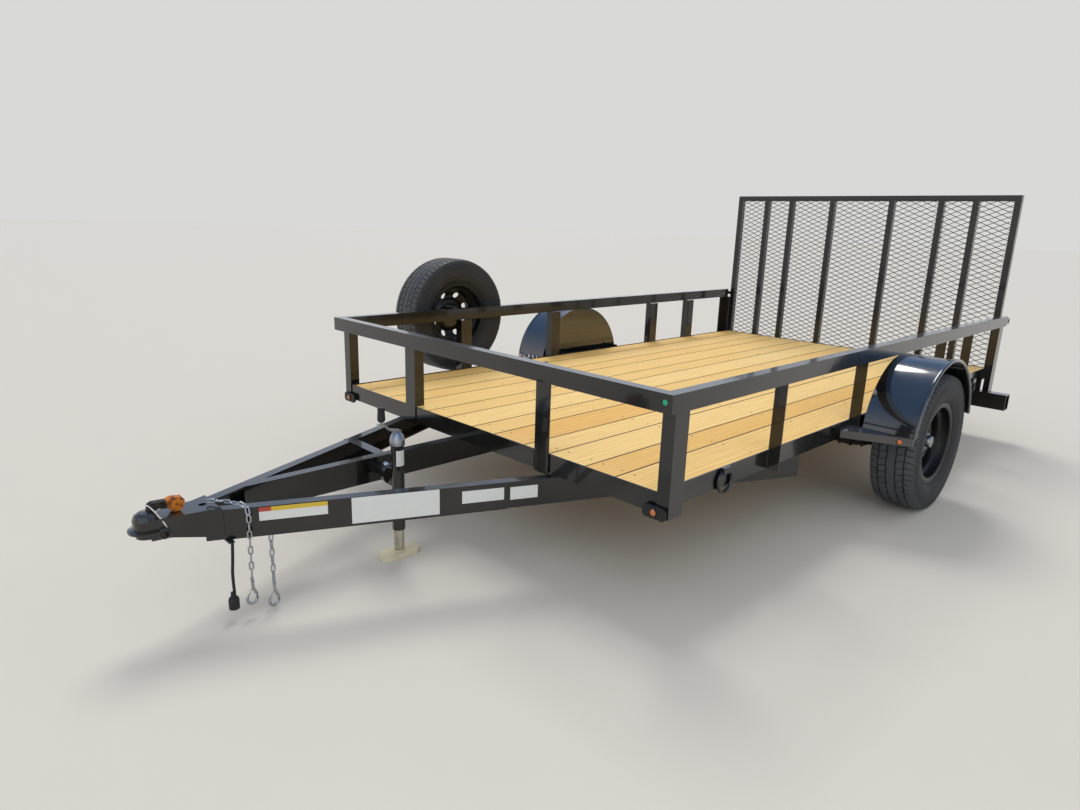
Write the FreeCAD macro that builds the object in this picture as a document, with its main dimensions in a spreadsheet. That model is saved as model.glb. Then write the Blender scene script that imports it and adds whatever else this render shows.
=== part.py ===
import FreeCAD, Part
import math
import os
import re
import Sketcher

V = FreeCAD.Vector
doc = FreeCAD.newDocument("UtilityTrailer")
sheet = doc.addObject("Spreadsheet::Sheet", "Sizes")

# Driving sizes in millimetres and degrees.
# The sheet's lengths run from the front face of the bed frame, rearward along +Y, and up from the ground.
SIZES = {
    # bed frame
    "frame_half": 990,
    "corner_out": 48.2,
    "bed_length": 3575,
    "frame_top": 453,
    "angle_tall": 76.2,
    "angle_wide": 50.8,
    "steel": 4.8,
    # deck
    "deck_top": 449,
    "board_thick": 38,
    "board_narrow": 140,
    "board_gap": 2.2,
    "board_pairs": 6,
    "board_end_gap": 1,
    "cross_count": 7,
    "cross_first": 60,
    "cross_last": 110,
    # rails and posts
    "rail_top": 800,
    "rail_tall": 63.5,
    "rail_wide": 44.5,
    "rail_wall": 3,
    "rail_out": 68,
    "post_drop": 8,
    "post_under_top": 8,
    "middle_post": 442,
    "post_a": 717,
    "post_b": 1455,
    "post_c": 1077,
    "post_d": 609,
    # tongue
    "channel_tall": 101.6,
    "channel_wide": 40,
    "flange": 7,
    "rake": 23.75,
    "leg_in": 6,
    "nose_half": 51,
    "nose_front": 1112,
    "centre_face": 88,
    "centre_rear": 600,
    "brace_y": 364.5,
    "brace_wide": 45,
    "brace_thick": 6,
    # coupler
    "ball_y": 1265,
    "ball_z": 342,
    "ball_radius": 25.4,
    "socket_gap": 0.6,
    "nose_radius": 40,
    "lip_radius": 55,
    "skirt_deep": 86,
    "hood_half": 37,
    "skirt_long": 48,
    "sheet_thick": 6,
    "pin_hole": 12.7,
    "lever_wide": 26,
    # wheels
    "wheel_out": 193,
    "wheel_share": 0.51357,
    "tyre_radius": 331.5,
    "tyre_half": 101.5,
    "wheel_sides": 30,
    "rim_half": 83,
    "rim_radius": 197,
    "bead_radius": 178,
    "drop_radius": 152,
    "rim_steel": 5,
    "bore_radius": 42,
    "round_hole": 17,
    "round_ring": 121,
    "round_count": 8,
    "bolt_ring": 57.15,
    "bolt_count": 5,
    "seat_gap": 0.3,
    # axle
    "axle_radius": 30,
    "beam_short": 108,
    "spindle": 19,
    "spindle_long": 46,
    "running_gap": 0.5,
    "hub_reach": 62,
    # leaf springs
    "spring_in": 25,
    "leaf_wide": 44.5,
    "leaf_thick": 8,
    "leaf_curve": 1406,
    "leaf_half": 320.5,
    "spring_seat": 5.5,
    "eye_rise": 47,
    "clasp_drop": 85,
    "eye_radius": 16,
    "eye_bolt": 8,
    "cheek": 5,
    "cheek_gap": 0.5,
    "shackle_back": 40,
    "shackle_rise": 14,
    "clasp_rod": 6,
    # wheel arches
    "arch_ahead": 24,
    "arch_z": 370,
    "arch_radius": 366,
    "arch_gap": 1,
    "arch_lip": 104,
    "arch_steel": 3,
    "arch_angle": 161,
    "arch_sides": 28,
    "step_front": 131,
    "step_edge": 30,
    # jack
    "jack_x": 46,
    "jack_y": 390,
    "jack_z": 326,
    "jack_outer": 25.4,
    "jack_inner": 20,
    "jack_wall": 3,
    "jack_low": 112,
    "jack_high": 458,
    "jack_cap": 50,
    "crank_reach": 67,
    "grip_tall": 56,
    "foot_wide": 78,
    "foot_long": 176,
    "foot_tall": 20,
    "foot_steel": 3,
    "swivel_radius": 40,
    "swivel_thick": 8,
    "pivot_radius": 12,
    "turn_gap": 0.4,
    # spare
    "spare_out": 132,
    "spare_y": 785,
    "spare_z": 746,
    # gate
    "gate_gap": 25,
    "gate_over": 17,
    "gate_low": 375,
    "gate_top": 1555,
    "gate_angle": 38.1,
    "gate_steel": 4.8,
    "upright_b": 731,
    "upright_c": 521,
    "upright_d": 196,
    "hinge_back": 12,
    "hinge_drop": 23,
    "hinge_pin": 8,
    "hinge_gap": 0.4,
    "hinge_in": 170,
    "hinge_pin_long": 76,
    "lug_thick": 10,
    "lug_radius": 16,
    "tab_thick": 16,
    "mesh_thick": 1.5,
    "mesh_strand": 3.2,
    "mesh_long": 76.2,
    "mesh_short": 33.9,
    "mesh_inset": 12,
    "mesh_border": 14,
    "latch_back": 42,
    "latch_drop": 33,
    "latch_rod": 8,
    # lamps and rings
    "lamp_bar_out": 162,
    "lamp_bar_deep": 76,
    "lamp_bar_tall": 102,
    "lamp_bar_wall": 5,
    "lens_wide": 130,
    "lens_tall": 64,
    "lens_thick": 12,
    "ring_y": 400,
    "ring_back": 275,
    "ring_drop": 53,
    "ring_half": 50,
    "ring_bar": 12,
    "marker_radius": 13,
    "marker_deep": 9,
    "marker_plate": 12,
    # chains and wiring
    "link_long": 38,
    "link_wide": 24,
    "link_bar": 6,
    "link_play": 1.5,
    "chain_a_y": 1003,
    "chain_a_x": 121,
    "chain_b_y": 930,
    "chain_b_x": 112,
    "hook_top_a": 126,
    "hook_top_b": 92,
    "cable_radius": 5,
    "cable_x": 96,
    "cable_y": 1052,
    "plug_top": 94,
    "plug_tall": 58,
    "clip_thick": 6,
}

# Places and sizes that follow from the ones above
DERIVED = {
    "low": "frame_top - angle_tall",
    "front_half": "frame_half + corner_out",
    "rail_half": "frame_half + rail_out",
    "rail_low": "rail_top - rail_tall",
    "deck_low": "deck_top - board_thick",
    "board_broad": "(2 * (frame_half - steel) - board_gap) / board_pairs - board_narrow - 2 * board_gap",
    "cross_pitch": "(bed_length - cross_first - cross_last) / (cross_count - 1)",
    "leg_end_x": "frame_half - leg_in",
    "leg_end_y": "(leg_end_x - nose_half) / tan(rake) - nose_front",
    "leg_length": "(leg_end_y + nose_front) / cos(rake)",
    "tongue_low": "low - channel_tall",
    "centre_front": "nose_front - 182",
    "jack_top": "jack_high + jack_cap",
    "wheel_x": "frame_half + wheel_out",
    "wheel_y": "bed_length * wheel_share",
    "axle_half": "wheel_x - beam_short",
    "spindle_end": "wheel_x + spindle_long",
    "spring_x": "frame_half - spring_in",
    "leaf_low": "tyre_radius - axle_radius - spring_seat - leaf_thick",
    "eye_z": "leaf_low + eye_rise",
    "arch_y": "wheel_y - arch_ahead",
    "arch_inner": "rail_half + arch_gap",
    "arch_outer": "wheel_x + arch_lip",
    "arch_front": "arch_y - arch_radius * sin(arch_angle / 2)",
    "step_low": "arch_z + arch_radius * cos(arch_angle / 2) - steel",
    "spare_x": "rail_half + spare_out",
    "gate_y": "bed_length + gate_gap",
    "gate_half": "frame_half + gate_over",
    "hinge_y": "gate_y + hinge_back",
    "hinge_z": "gate_low - hinge_drop",
    "hinge_x": "frame_half - hinge_in",
    "latch_y": "bed_length + latch_back",
    "latch_z": "rail_top - latch_drop",
    "clip_low": "tongue_low - clip_thick",
    "leg_x_at_brace": "leg_end_x - (leg_end_y + brace_y) * tan(rake)",
    "lamp_bar_half": "frame_half + lamp_bar_out",
    "lamp_bar_top": "low - angle_tall",
    "skirt_low": "low - skirt_deep",
    "skirt_rear": "nose_front - skirt_long",
    "middle_y": "(gate_y + gate_angle - ball_y - lip_radius) / 2",
}
for row, (alias, number) in enumerate(SIZES.items(), 1):
    sheet.set("A%d" % row, alias)
    sheet.set("B%d" % row, str(number))
    sheet.setAlias("B%d" % row, alias)
doc.recompute()

NAMES = re.compile(r"\b(" + "|".join(sorted(DERIVED, key=len, reverse=True)) + r")\b")
WORDS = re.compile(r"\b(" + "|".join(sorted(SIZES, key=len, reverse=True)) + r")\b")
NODES = []


def expanded(text):
    """The expression with each derived name written out in the sheet's own names."""
    text = str(text)
    while NAMES.search(text):
        text = NAMES.sub(lambda found: "(" + DERIVED[found.group(1)] + ")", text)
    return text


def value(text):
    """A number worked out from the sheet's names."""
    return float(sheet.evalExpression(expanded(text)))


def bound(text):
    """An expression that reads the sheet's cells."""
    return WORDS.sub(r"Sizes.\1", expanded(text))


def bind(thing, **sizes):
    for key, text in sizes.items():
        thing.setExpression(key, bound(text))
    return thing


def place(thing, x="0", y="0", z="0", turn=None, axis=(0, 0, 1)):
    if turn is not None:
        thing.Placement = FreeCAD.Placement(V(0, 0, 0), FreeCAD.Rotation(V(*axis), value(turn)))
        thing.setExpression("Placement.Rotation.Angle", bound(turn))
    for key, text in (("x", x), ("y", y), ("z", z)):
        if text != "0":
            thing.setExpression("Placement.Base." + key, bound(text))
    return thing


def outlines(body, name, plane, loops):
    """A sketch of closed straight-sided loops, every corner held by two distances from the origin."""
    base = [item for item in body.Origin.OriginFeatures if item.Role == plane][0]
    sketch = body.newObject("Sketcher::SketchObject", name)
    sketch.AttachmentSupport = [(base, "")]
    sketch.MapMode = "FlatFace"
    first = 0
    for loop in loops:
        spots = [(value(a), value(b)) for a, b in loop]
        count = len(spots)
        for i in range(count):
            start = spots[i]
            end = spots[(i + 1) % count]
            sketch.addGeometry(Part.LineSegment(V(start[0], start[1], 0), V(end[0], end[1], 0)), False)
        for i in range(count):
            after = first + (i + 1) % count
            sketch.addConstraint(Sketcher.Constraint("Coincident", first + i, 2, after, 1))
        for i, pair in enumerate(loop):
            for kind, text, number in (("DistanceX", pair[0], spots[i][0]), ("DistanceY", pair[1], spots[i][1])):
                held = sketch.addConstraint(Sketcher.Constraint(kind, -1, 1, first + i, 1, number))
                if not re.fullmatch(r"-?[\d.]+", str(text)):
                    sketch.setExpression("Constraints[%d]" % held, bound(text))
        first += count
    return sketch


def pad(name, plane, loop, length, holes=(), middle=False, **where):
    """A profile padded off one of the three origin planes."""
    body = doc.addObject("PartDesign::Body", name)
    sketch = outlines(body, name + "_outline", plane, [loop] + list(holes))
    made = body.newObject("PartDesign::Pad", name + "_pad")
    made.Profile = sketch
    made.setExpression("Length", bound(length))
    made.Midplane = middle
    sketch.Visibility = False
    return place(body, **where)


def turned(name, loop, angle="360", upright=False, **where):
    """A profile of the XZ plane revolved about X, or about Z when upright."""
    body = doc.addObject("PartDesign::Body", name)
    sketch = outlines(body, name + "_outline", "XZ_Plane", [loop])
    made = body.newObject("PartDesign::Revolution", name + "_turn")
    made.Profile = sketch
    made.ReferenceAxis = (sketch, ["V_Axis" if upright else "H_Axis"])
    made.Midplane = angle != "360"
    made.Angle = value(angle)
    if angle != "360":
        made.setExpression("Angle", bound(angle))
    return place(body, **where)


def box(name, length, width, height, **where):
    return place(bind(doc.addObject("Part::Box", name), Length=length, Width=width, Height=height), **where)


def cylinder(name, radius, height, along="Z", x="0", y="0", z="0"):
    made = bind(doc.addObject("Part::Cylinder", name), Radius=radius, Height=height)
    axes = {"X": (V(0, 1, 0), 90), "Y": (V(1, 0, 0), -90), "Z": (V(0, 0, 1), 0)}
    made.Placement = FreeCAD.Placement(V(0, 0, 0), FreeCAD.Rotation(*axes[along]))
    return place(made, x, y, z)


def fuse(name, *shapes):
    made = doc.addObject("Part::MultiFuse", name)
    made.Shapes = list(shapes)
    made.Refine = True
    return made


def cut(name, base, tool):
    made = doc.addObject("Part::Cut", name)
    made.Base = base
    made.Tool = tool
    made.Refine = True
    return made


def group(name, *shapes, **where):
    made = doc.addObject("Part::Compound", name)
    made.Links = list(shapes)
    return place(made, **where)


def mirrored(name, source):
    made = doc.addObject("Part::Mirroring", name)
    made.Source = source
    made.Base = V(0, 0, 0)
    made.Normal = V(1, 0, 0)
    return made


def solid(name, shape):
    made = doc.addObject("Part::Feature", name)
    made.Shape = shape
    return made


def node(name, *shapes):
    """One sub-part: its label names its file, its placement brings the trailer's middle to the origin."""
    made = group(name, *shapes, y="-middle_y")
    made.Label = name
    NODES.append(made)
    return made


def both(name, *shapes):
    """A sub-part of the left side and its mirror image on the right."""
    node(name + "_left", *shapes)
    node(name + "_right", *[mirrored(shape.Name + "_mirror", shape) for shape in shapes])


def angle_loop(wide, tall, across=1, steel="steel"):
    """An angle bar: one leg flat along the first axis, the other standing at the corner."""
    sign = "" if across > 0 else "-"
    return [("0", "0"), (sign + "(%s)" % wide, "0"), (sign + "(%s)" % wide, steel), (sign + steel, steel),
            (sign + steel, tall), ("0", tall)]


def tube_loops(wide, tall, wall):
    outer = [("0", "0"), (wide, "0"), (wide, tall), ("0", tall)]
    inner = [(wall, wall), (wide + "-" + wall, wall), (wide + "-" + wall, tall + "-" + wall), (wall, tall + "-" + wall)]
    return outer, inner


def rod(name, radius, length, along="Z", sides=16, **where):
    """A round bar or bore as a prism, its corners on the radius."""
    made = bind(doc.addObject("Part::Prism", name), Circumradius=radius, Height=length)
    made.Polygon = sides
    axes = {"X": (V(0, 1, 0), 90), "Y": (V(1, 0, 0), -90), "Z": (V(0, 0, 1), 0)}
    made.Placement = FreeCAD.Placement(V(0, 0, 0), FreeCAD.Rotation(*axes[along]))
    return place(made, **where)


def rounded(name, loop, sides=24, upright=False, angle=None, **where):
    """A closed profile of (along, radius) pairs taken round its axis in flat facets.

    Without an angle the ring is whole, its facets touch the radius and one of them lies at the bottom;
    with an angle, the corners lie on the radius.
    """
    spots = [(value(a), value(b)) for a, b in loop]
    if upright:
        spots = [(b, a) for a, b in spots]
    whole = angle is None
    sides = int(value(sides))
    sweep = math.radians(360.0 if whole else value(angle))
    step = sweep / sides
    grow = 1 / math.cos(step / 2) if whole else 1.0
    first = (step - sweep) / 2 if whole else -sweep / 2
    rays = [first + step * i for i in range(sides if whole else sides + 1)]
    if upright:
        def corner(spot, ray):
            return V(spot[1] * grow * math.sin(ray), spot[1] * grow * math.cos(ray), spot[0])
    else:
        def corner(spot, ray):
            return V(spot[0], spot[1] * grow * math.sin(ray), spot[1] * grow * math.cos(ray))
    faces = []

    def flat(*corners):
        faces.append(Part.Face(Part.makePolygon(list(corners) + [corners[0]])))

    for here, then in zip(spots, spots[1:] + spots[:1]):
        if here[1] == 0 and then[1] == 0:
            continue
        level = here[0] == then[0]
        if whole and level and 0 in (here[1], then[1]):
            edge = here if then[1] == 0 else then
            flat(*[corner(edge, ray) for ray in rays])
            continue
        if whole and level:
            wide = max(here, then, key=lambda spot: spot[1])
            thin = min(here, then, key=lambda spot: spot[1])
            disc = Part.Face(Part.makePolygon([corner(wide, ray) for ray in rays + rays[:1]]))
            room = Part.Face(Part.makePolygon([corner(thin, ray) for ray in rays + rays[:1]]))
            faces.extend(disc.cut(room).Faces)
            continue
        for ray, after in zip(rays, rays[1:] + (rays[:1] if whole else [])):
            if here[1] == 0:
                flat(corner(here, ray), corner(then, ray), corner(then, after))
            elif then[1] == 0:
                flat(corner(here, ray), corner(then, ray), corner(here, after))
            else:
                flat(corner(here, ray), corner(then, ray), corner(then, after), corner(here, after))
    if not whole:
        for ray in (rays[0], rays[-1]):
            flat(*[corner(spot, ray) for spot in spots])
    shell = Part.makeShell(faces)
    shell.sewShape()
    made = Part.makeSolid(shell)
    if made.Volume < 0:
        made.reverse()
    thing = solid(name, made)
    return place(thing, **where)


# Bed frame of angle iron, the upright leg outside and the flat leg below, turned inward
front_bar = pad("front_bar", "YZ_Plane", angle_loop("angle_wide", "angle_tall"), "2 * front_half",
                x="-front_half", z="low")
cope = box("front_cope", "front_half - frame_half + steel + 100", "angle_wide + 100", "angle_tall",
           x="frame_half - steel", y="steel", z="low")
cope_other = mirrored("front_cope_mirror", cope)
node("frame_front", cut("front_member", front_bar, group("front_copes", cope, cope_other)))
side_bar = pad("side_bar", "XZ_Plane", angle_loop("angle_wide", "angle_tall", -1), "bed_length - 2 * steel",
               x="frame_half", y="bed_length - steel", z="low")
corner_cope = box("corner_cope", "angle_wide - steel", "angle_wide - steel", "steel",
                  x="frame_half - angle_wide", y="steel", z="low")
rear_cope = box("rear_cope", "angle_wide - steel", "angle_wide - steel", "steel",
                x="frame_half - angle_wide", y="bed_length - angle_wide", z="low")
both("frame_side", cut("side_member", side_bar, group("side_copes", corner_cope, rear_cope)))
rear_bar = pad("rear_bar", "YZ_Plane", [("0", "0"), ("-angle_wide", "0"), ("-angle_wide", "steel"),
                                        ("-steel", "steel"), ("-steel", "angle_tall"), ("0", "angle_tall")],
               "2 * frame_half", x="-frame_half", y="bed_length", z="low")
rear_end = box("rear_end", "steel + 1", "angle_wide - steel + 1", "angle_tall",
               x="frame_half - steel", y="bed_length - angle_wide - 1", z="low")
node("frame_rear", cut("rear_member", rear_bar, group("rear_ends", rear_end, mirrored("rear_end_mirror", rear_end))))

# Crossmembers stand on the side members' flat legs and carry the deck
crossings = []
for i in range(int(value("cross_count"))):
    crossings.append(pad("cross_%d" % (i + 1), "YZ_Plane", angle_loop("angle_wide", "deck_low - low - steel"),
                         "2 * (frame_half - steel)", x="-(frame_half - steel)",
                         y="cross_first + %d * cross_pitch" % i, z="low + steel"))
node("crossmembers", *crossings)

# Deck boards run lengthwise, broad and narrow in turn from the left edge
boards = []
for i in range(int(value("board_pairs"))):
    start = "frame_half - steel - board_gap - %d * (board_broad + board_narrow + 2 * board_gap)" % i
    for word, shift in (("board_broad", "board_broad"), ("board_narrow", "board_broad + board_gap + board_narrow")):
        boards.append(box("board_%s_%d" % (word[6:], i + 1), word, "bed_length - 2 * (steel + board_end_gap)",
                          "board_thick", x="%s - (%s)" % (start, shift), y="steel + board_end_gap", z="deck_low"))
node("deck_boards", *boards)

# Top rail of rectangular tube: the front tube passes in front of the posts, the side tubes butt behind it
outer, inner = tube_loops("rail_wide", "rail_tall", "rail_wall")
node("top_rail_front", pad("front_tube", "YZ_Plane", outer, "2 * rail_half", holes=[inner],
                           x="-rail_half", y="-rail_wide - steel", z="rail_low"))
both("top_rail", pad("side_tube", "XZ_Plane", outer, "bed_length + steel", holes=[inner],
                     x="rail_half - rail_wide", y="bed_length", z="rail_low"))

# Posts: (name, front edge)
SIDE_POSTS = [
    ("a", "post_a"),
    ("b", "post_b"),
    ("c", "bed_length - post_c"),
    ("d", "bed_length - post_d"),
]
front_plate = pad("front_post_plate", "XY_Plane", [("-angle_tall / 2", "-steel"), ("angle_tall / 2", "-steel"),
                                                   ("angle_tall / 2", "0"), ("-angle_tall / 2", "0")],
                  "rail_top - post_under_top - low + post_drop", x="middle_post", z="low - post_drop")
front_fin = pad("front_post_fin", "XY_Plane", [("-angle_tall / 2", "0"), ("-angle_tall / 2 + steel", "0"),
                                               ("-angle_tall / 2 + steel", "angle_wide - steel"),
                                               ("-angle_tall / 2", "angle_wide - steel")],
                "rail_top - post_under_top - frame_top", x="middle_post", z="frame_top")
corner_face = pad("corner_face", "XY_Plane", [("frame_half + 2", "-steel"), ("front_half + steel", "-steel"),
                                              ("front_half + steel", "angle_tall - steel"),
                                              ("front_half", "angle_tall - steel"), ("front_half", "0"),
                                              ("frame_half + 2", "0")],
                  "rail_low - low + post_drop", z="low - post_drop")
front_middle = fuse("front_middle_post", front_plate, front_fin)
node("front_posts", front_middle, mirrored("front_middle_mirror", front_middle),
     corner_face, mirrored("corner_face_mirror", corner_face))
side_posts = []
for key, front_edge in SIDE_POSTS:
    side_posts.append(pad("side_post_" + key, "XY_Plane", [("0", "0"), ("angle_wide", "0"), ("angle_wide", "steel"),
                                                           ("steel", "steel"), ("steel", "angle_tall"),
                                                           ("0", "angle_tall")],
                          "rail_low - low", x="frame_half", y=front_edge, z="low"))
side_posts.append(pad("rear_post", "XY_Plane", [("0", "0"), ("front_half - frame_half + steel", "0"),
                                                ("front_half - frame_half + steel", "-angle_tall"),
                                                ("front_half - frame_half", "-angle_tall"),
                                                ("front_half - frame_half", "-steel"), ("0", "-steel")],
                      "rail_low - lamp_bar_top", x="frame_half", y="bed_length", z="lamp_bar_top"))
both("side_posts", *side_posts)

# Tongue of three channels, the outer two raked
channel = [("0", "0"), ("0", "channel_tall"), ("-channel_wide", "channel_tall"),
           ("-channel_wide", "channel_tall - flange"), ("-steel", "channel_tall - flange"), ("-steel", "flange"),
           ("-channel_wide", "flange"), ("-channel_wide", "0")]
leg = pad("raked_channel", "XZ_Plane", channel, "leg_length", x="leg_end_x", y="leg_end_y", z="tongue_low",
          turn="-rake")
leg_other = mirrored("raked_channel_mirror", leg)
node("tongue_leg_left", leg)
node("tongue_leg_right", leg_other)
leg_space = pad("leg_space", "XZ_Plane", [("0", "-10"), ("0", "channel_tall + 10"),
                                          ("-channel_wide", "channel_tall + 10"), ("-channel_wide", "-10")],
                "leg_length + 100", x="leg_end_x", y="leg_end_y", z="tongue_low", turn="-rake")
leg_space_other = mirrored("leg_space_mirror", leg_space)
centre_bar = pad("centre_bar", "XZ_Plane", channel, "centre_front + centre_rear", x="-centre_face",
                 y="centre_rear", z="tongue_low")
node("tongue_centre", cut("centre_channel", centre_bar, leg_space_other))
brace_reach = "leg_x_at_brace - centre_face - channel_wide"
brace_bar = box("brace_bar", brace_reach, "brace_wide", "brace_thick", x="-centre_face - channel_wide - (%s)" % brace_reach,
                y="-brace_y - brace_wide / 2", z="low - brace_thick")
leg_space_brace = mirrored("leg_space_brace", leg_space)
node("tongue_brace", cut("brace_cut", brace_bar, leg_space_brace))

# Coupler: a folded sheet over the channels' noses, with a round socket for the ball
fold = "sheet_thick / cos(rake)"
skirt_end = "nose_half + (nose_front - skirt_rear) * tan(rake)"
room_end = "nose_half + (nose_front - skirt_rear + 1) * tan(rake)"
hood = pad("coupler_hood", "XY_Plane", [("-(%s + %s)" % (skirt_end, fold), "-skirt_rear"),
                                        ("-(nose_half + %s)" % fold, "-nose_front"),
                                        ("-hood_half", "-ball_y"), ("hood_half", "-ball_y"),
                                        ("nose_half + %s" % fold, "-nose_front"),
                                        ("%s + %s" % (skirt_end, fold), "-skirt_rear")],
           "low + sheet_thick - skirt_low", z="skirt_low")
hollow = pad("coupler_hollow", "XY_Plane", [("-(%s)" % room_end, "-skirt_rear + 1"), ("-nose_half", "-nose_front"),
                                            ("-(hood_half - sheet_thick)", "-ball_y + 12"),
                                            ("hood_half - sheet_thick", "-ball_y + 12"),
                                            ("nose_half", "-nose_front"), (room_end, "-skirt_rear + 1")],
             "low - skirt_low + 10", z="skirt_low - 10")
socket = rounded("coupler_socket", [("0", "62"), ("22", "60"), ("34", "52"), ("nose_radius", "38"),
                                    ("nose_radius", "10"), ("lip_radius", "6"), ("lip_radius", "0"),
                                    ("nose_radius - sheet_thick", "0"), ("nose_radius - sheet_thick", "-20"),
                                    ("0", "-20")], upright=True, y="-ball_y", z="ball_z")
ball_room = rounded("ball_room", [("0", "ball_radius + 9"), ("18", "ball_radius + 5"),
                                  ("ball_radius + socket_gap", "12"), ("ball_radius + socket_gap", "-60"),
                                  ("0", "-60")], upright=True, y="-ball_y", z="ball_z")
slant = pad("skirt_slant", "YZ_Plane", [("-(ball_y + 235)", "0"), ("-(skirt_rear + 16)", "0"),
                                        ("-(skirt_rear + 36)", "skirt_low - 0.8"),
                                        ("-(ball_y - lip_radius)", "skirt_low + 25"),
                                        ("-(ball_y + 235)", "skirt_low + 25")], "400", middle=True)
lever_pin = rod("lever_pin", "5", "112", "X", sides=12, x="-lip_radius - 1", y="-ball_y + 38", z="ball_z - 8")
shell = fuse("coupler_folded", cut("hood_open", hood, hollow), socket)
hole = rod("coupler_hole", "pin_hole", "40", y="-nose_front + 14", z="low - 10")
node("coupler", cut("coupler_shell", shell, group("coupler_rooms", ball_room, slant, hole, lever_pin)))
lever = pad("lever_bar", "YZ_Plane", [("3", "27.2"), ("7", "46"), ("18", "52"), ("58", "50"), ("74", "56"),
                                      ("104", "52"), ("112", "40"), ("108", "22"), ("98", "8.2"), ("76", "8.2"),
                                      ("62", "24"), ("34", "30"), ("27", "27.2")],
            "lever_wide", middle=True, y="-ball_y", z="low")
node("coupler_latch", lever, lever_pin)

# Running gear: the axle beam carries the spindles on which the hubs turn
beam = rod("axle_tube", "axle_radius", "2 * axle_half", "X", sides=24, x="-axle_half", y="wheel_y", z="tyre_radius")
spindles = cylinder("spindle_bar", "spindle", "2 * spindle_end", "X", x="-spindle_end", y="wheel_y", z="tyre_radius")
collars = rod("spindle_collars", "spindle + 7", "2 * (axle_half + 32)", "X", sides=24, x="-axle_half - 32",
              y="wheel_y", z="tyre_radius")
node("axle", fuse("axle_beam", beam, spindles, collars))

# Wheel profiles as (along the axle, radius)
rim_loop = [("rim_half", "rim_radius"), ("rim_half - 5", "rim_radius"), ("rim_half - 7", "bead_radius"),
            ("40", "bead_radius - 2"), ("30", "drop_radius"), ("-30", "drop_radius"), ("-40", "bead_radius - 2"),
            ("-(rim_half - 7)", "bead_radius"), ("-(rim_half - 5)", "rim_radius"), ("-rim_half", "rim_radius"),
            ("-(rim_half - 2)", "bead_radius - rim_steel"), ("-44", "bead_radius - 2 - rim_steel"),
            ("-34", "drop_radius - rim_steel"), ("34", "drop_radius - rim_steel"),
            ("44", "bead_radius - 2 - rim_steel"), ("rim_half - 2", "bead_radius - rim_steel")]
disc_loop = [("0", "bore_radius"), ("0", "82"), ("14", "104"), ("-8", "140"), ("-8", "drop_radius - 1"),
             ("-3", "drop_radius - 1"), ("-3", "142"), ("19", "106"), ("5", "80"), ("5", "bore_radius")]
crown = [("34", "tyre_radius"), ("tyre_half - 14", "tyre_radius - 6"), ("tyre_half - 5", "tyre_radius - 22"),
         ("tyre_half", "tyre_radius - 62"), ("tyre_half - 4", "tyre_radius - 100"),
         ("rim_half + 2", "rim_radius + 6"), ("rim_half - 5 - seat_gap", "rim_radius + 0.5"),
         ("rim_half - 7 - seat_gap", "bead_radius + seat_gap")]
inside = [("rim_half - 22", "bead_radius + seat_gap"), ("tyre_half - 12", "tyre_radius - 64"),
          ("tyre_half - 24", "tyre_radius - 16")]
tyre_loop = crown + inside + [("-(%s)" % a, b) for a, b in (crown + inside)[::-1]]
tyre = rounded("tyre_ring", tyre_loop, sides="wheel_sides")
rounds = []
for i in range(int(value("round_count"))):
    ray = "%d * 360 / round_count + 22.5" % i
    rounds.append(rod("disc_hole_%d" % (i + 1), "round_hole", "80", "X", sides=10, x="-30",
                      y="round_ring * cos(%s)" % ray, z="round_ring * sin(%s)" % ray))
wheel = cut("steel_wheel", fuse("wheel_whole", rounded("rim_ring", rim_loop, sides="wheel_sides"),
                                rounded("wheel_disc", disc_loop, sides="wheel_sides")),
            group("disc_holes", *rounds))
hub_loop = [("-70", "0"), ("hub_reach", "0"), ("hub_reach", "19"), ("hub_reach - 4", "27"), ("38", "30"),
            ("38", "bore_radius - 1"), ("0", "bore_radius - 1"), ("0", "74"), ("-12", "74"), ("-12", "38"), ("-70", "38")]
hub = cut("hub_body", rounded("hub_whole", hub_loop),
          cylinder("hub_bore", "spindle + running_gap", "hub_reach - 12 + 71", "X", x="-71"))
for word, sign, turn in (("left", "", "0"), ("right", "-", "180")):
    spot = {"x": sign + "wheel_x", "y": "wheel_y", "z": "tyre_radius", "turn": turn}
    node("tyre_" + word, group("tyre_at_" + word, tyre, **spot))
    node("wheel_" + word, group("wheel_at_" + word, wheel, **spot))
    node("hub_" + word, group("hub_at_" + word, hub, **spot))
spot = {"x": "-spare_x", "y": "spare_y", "z": "spare_z", "turn": "180"}
node("spare_tyre", group("tyre_at_spare", tyre, **spot))
node("spare_wheel", group("wheel_at_spare", wheel, **spot))

# Leaf springs under the axle, on a fixed eye in front and a shackle behind
leaves = []
for i, share in enumerate((1, 0.74, 0.46)):
    span = "2 * asin(leaf_half * %s / leaf_curve)" % share
    inner_radius = "leaf_curve + %d * leaf_thick" % i
    leaves.append(turned("leaf_%d" % (i + 1), [("-leaf_wide / 2", "-(%s)" % inner_radius),
                                               ("leaf_wide / 2", "-(%s)" % inner_radius),
                                               ("leaf_wide / 2", "-(%s + leaf_thick)" % inner_radius),
                                               ("-leaf_wide / 2", "-(%s + leaf_thick)" % inner_radius)],
                         angle=span, x="spring_x", y="wheel_y", z="leaf_low + leaf_thick + leaf_curve"))
pivots = []
for word, sign in (("front", "-"), ("rear", "+")):
    y_text = "wheel_y %s leaf_half" % sign
    leaves.append(cylinder("eye_ring_" + word, "eye_radius", "leaf_wide", "X", x="spring_x - leaf_wide / 2",
                           y=y_text, z="eye_z"))
    pivots.append(cylinder("eye_bore_" + word, "eye_bolt + 0.3", "leaf_wide + 20", "X",
                           x="spring_x - leaf_wide / 2 - 10", y=y_text, z="eye_z"))
both("leaf_spring", cut("spring_pack", fuse("spring_whole", *leaves), group("eye_bores", *pivots)))
cheeks = []
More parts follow.
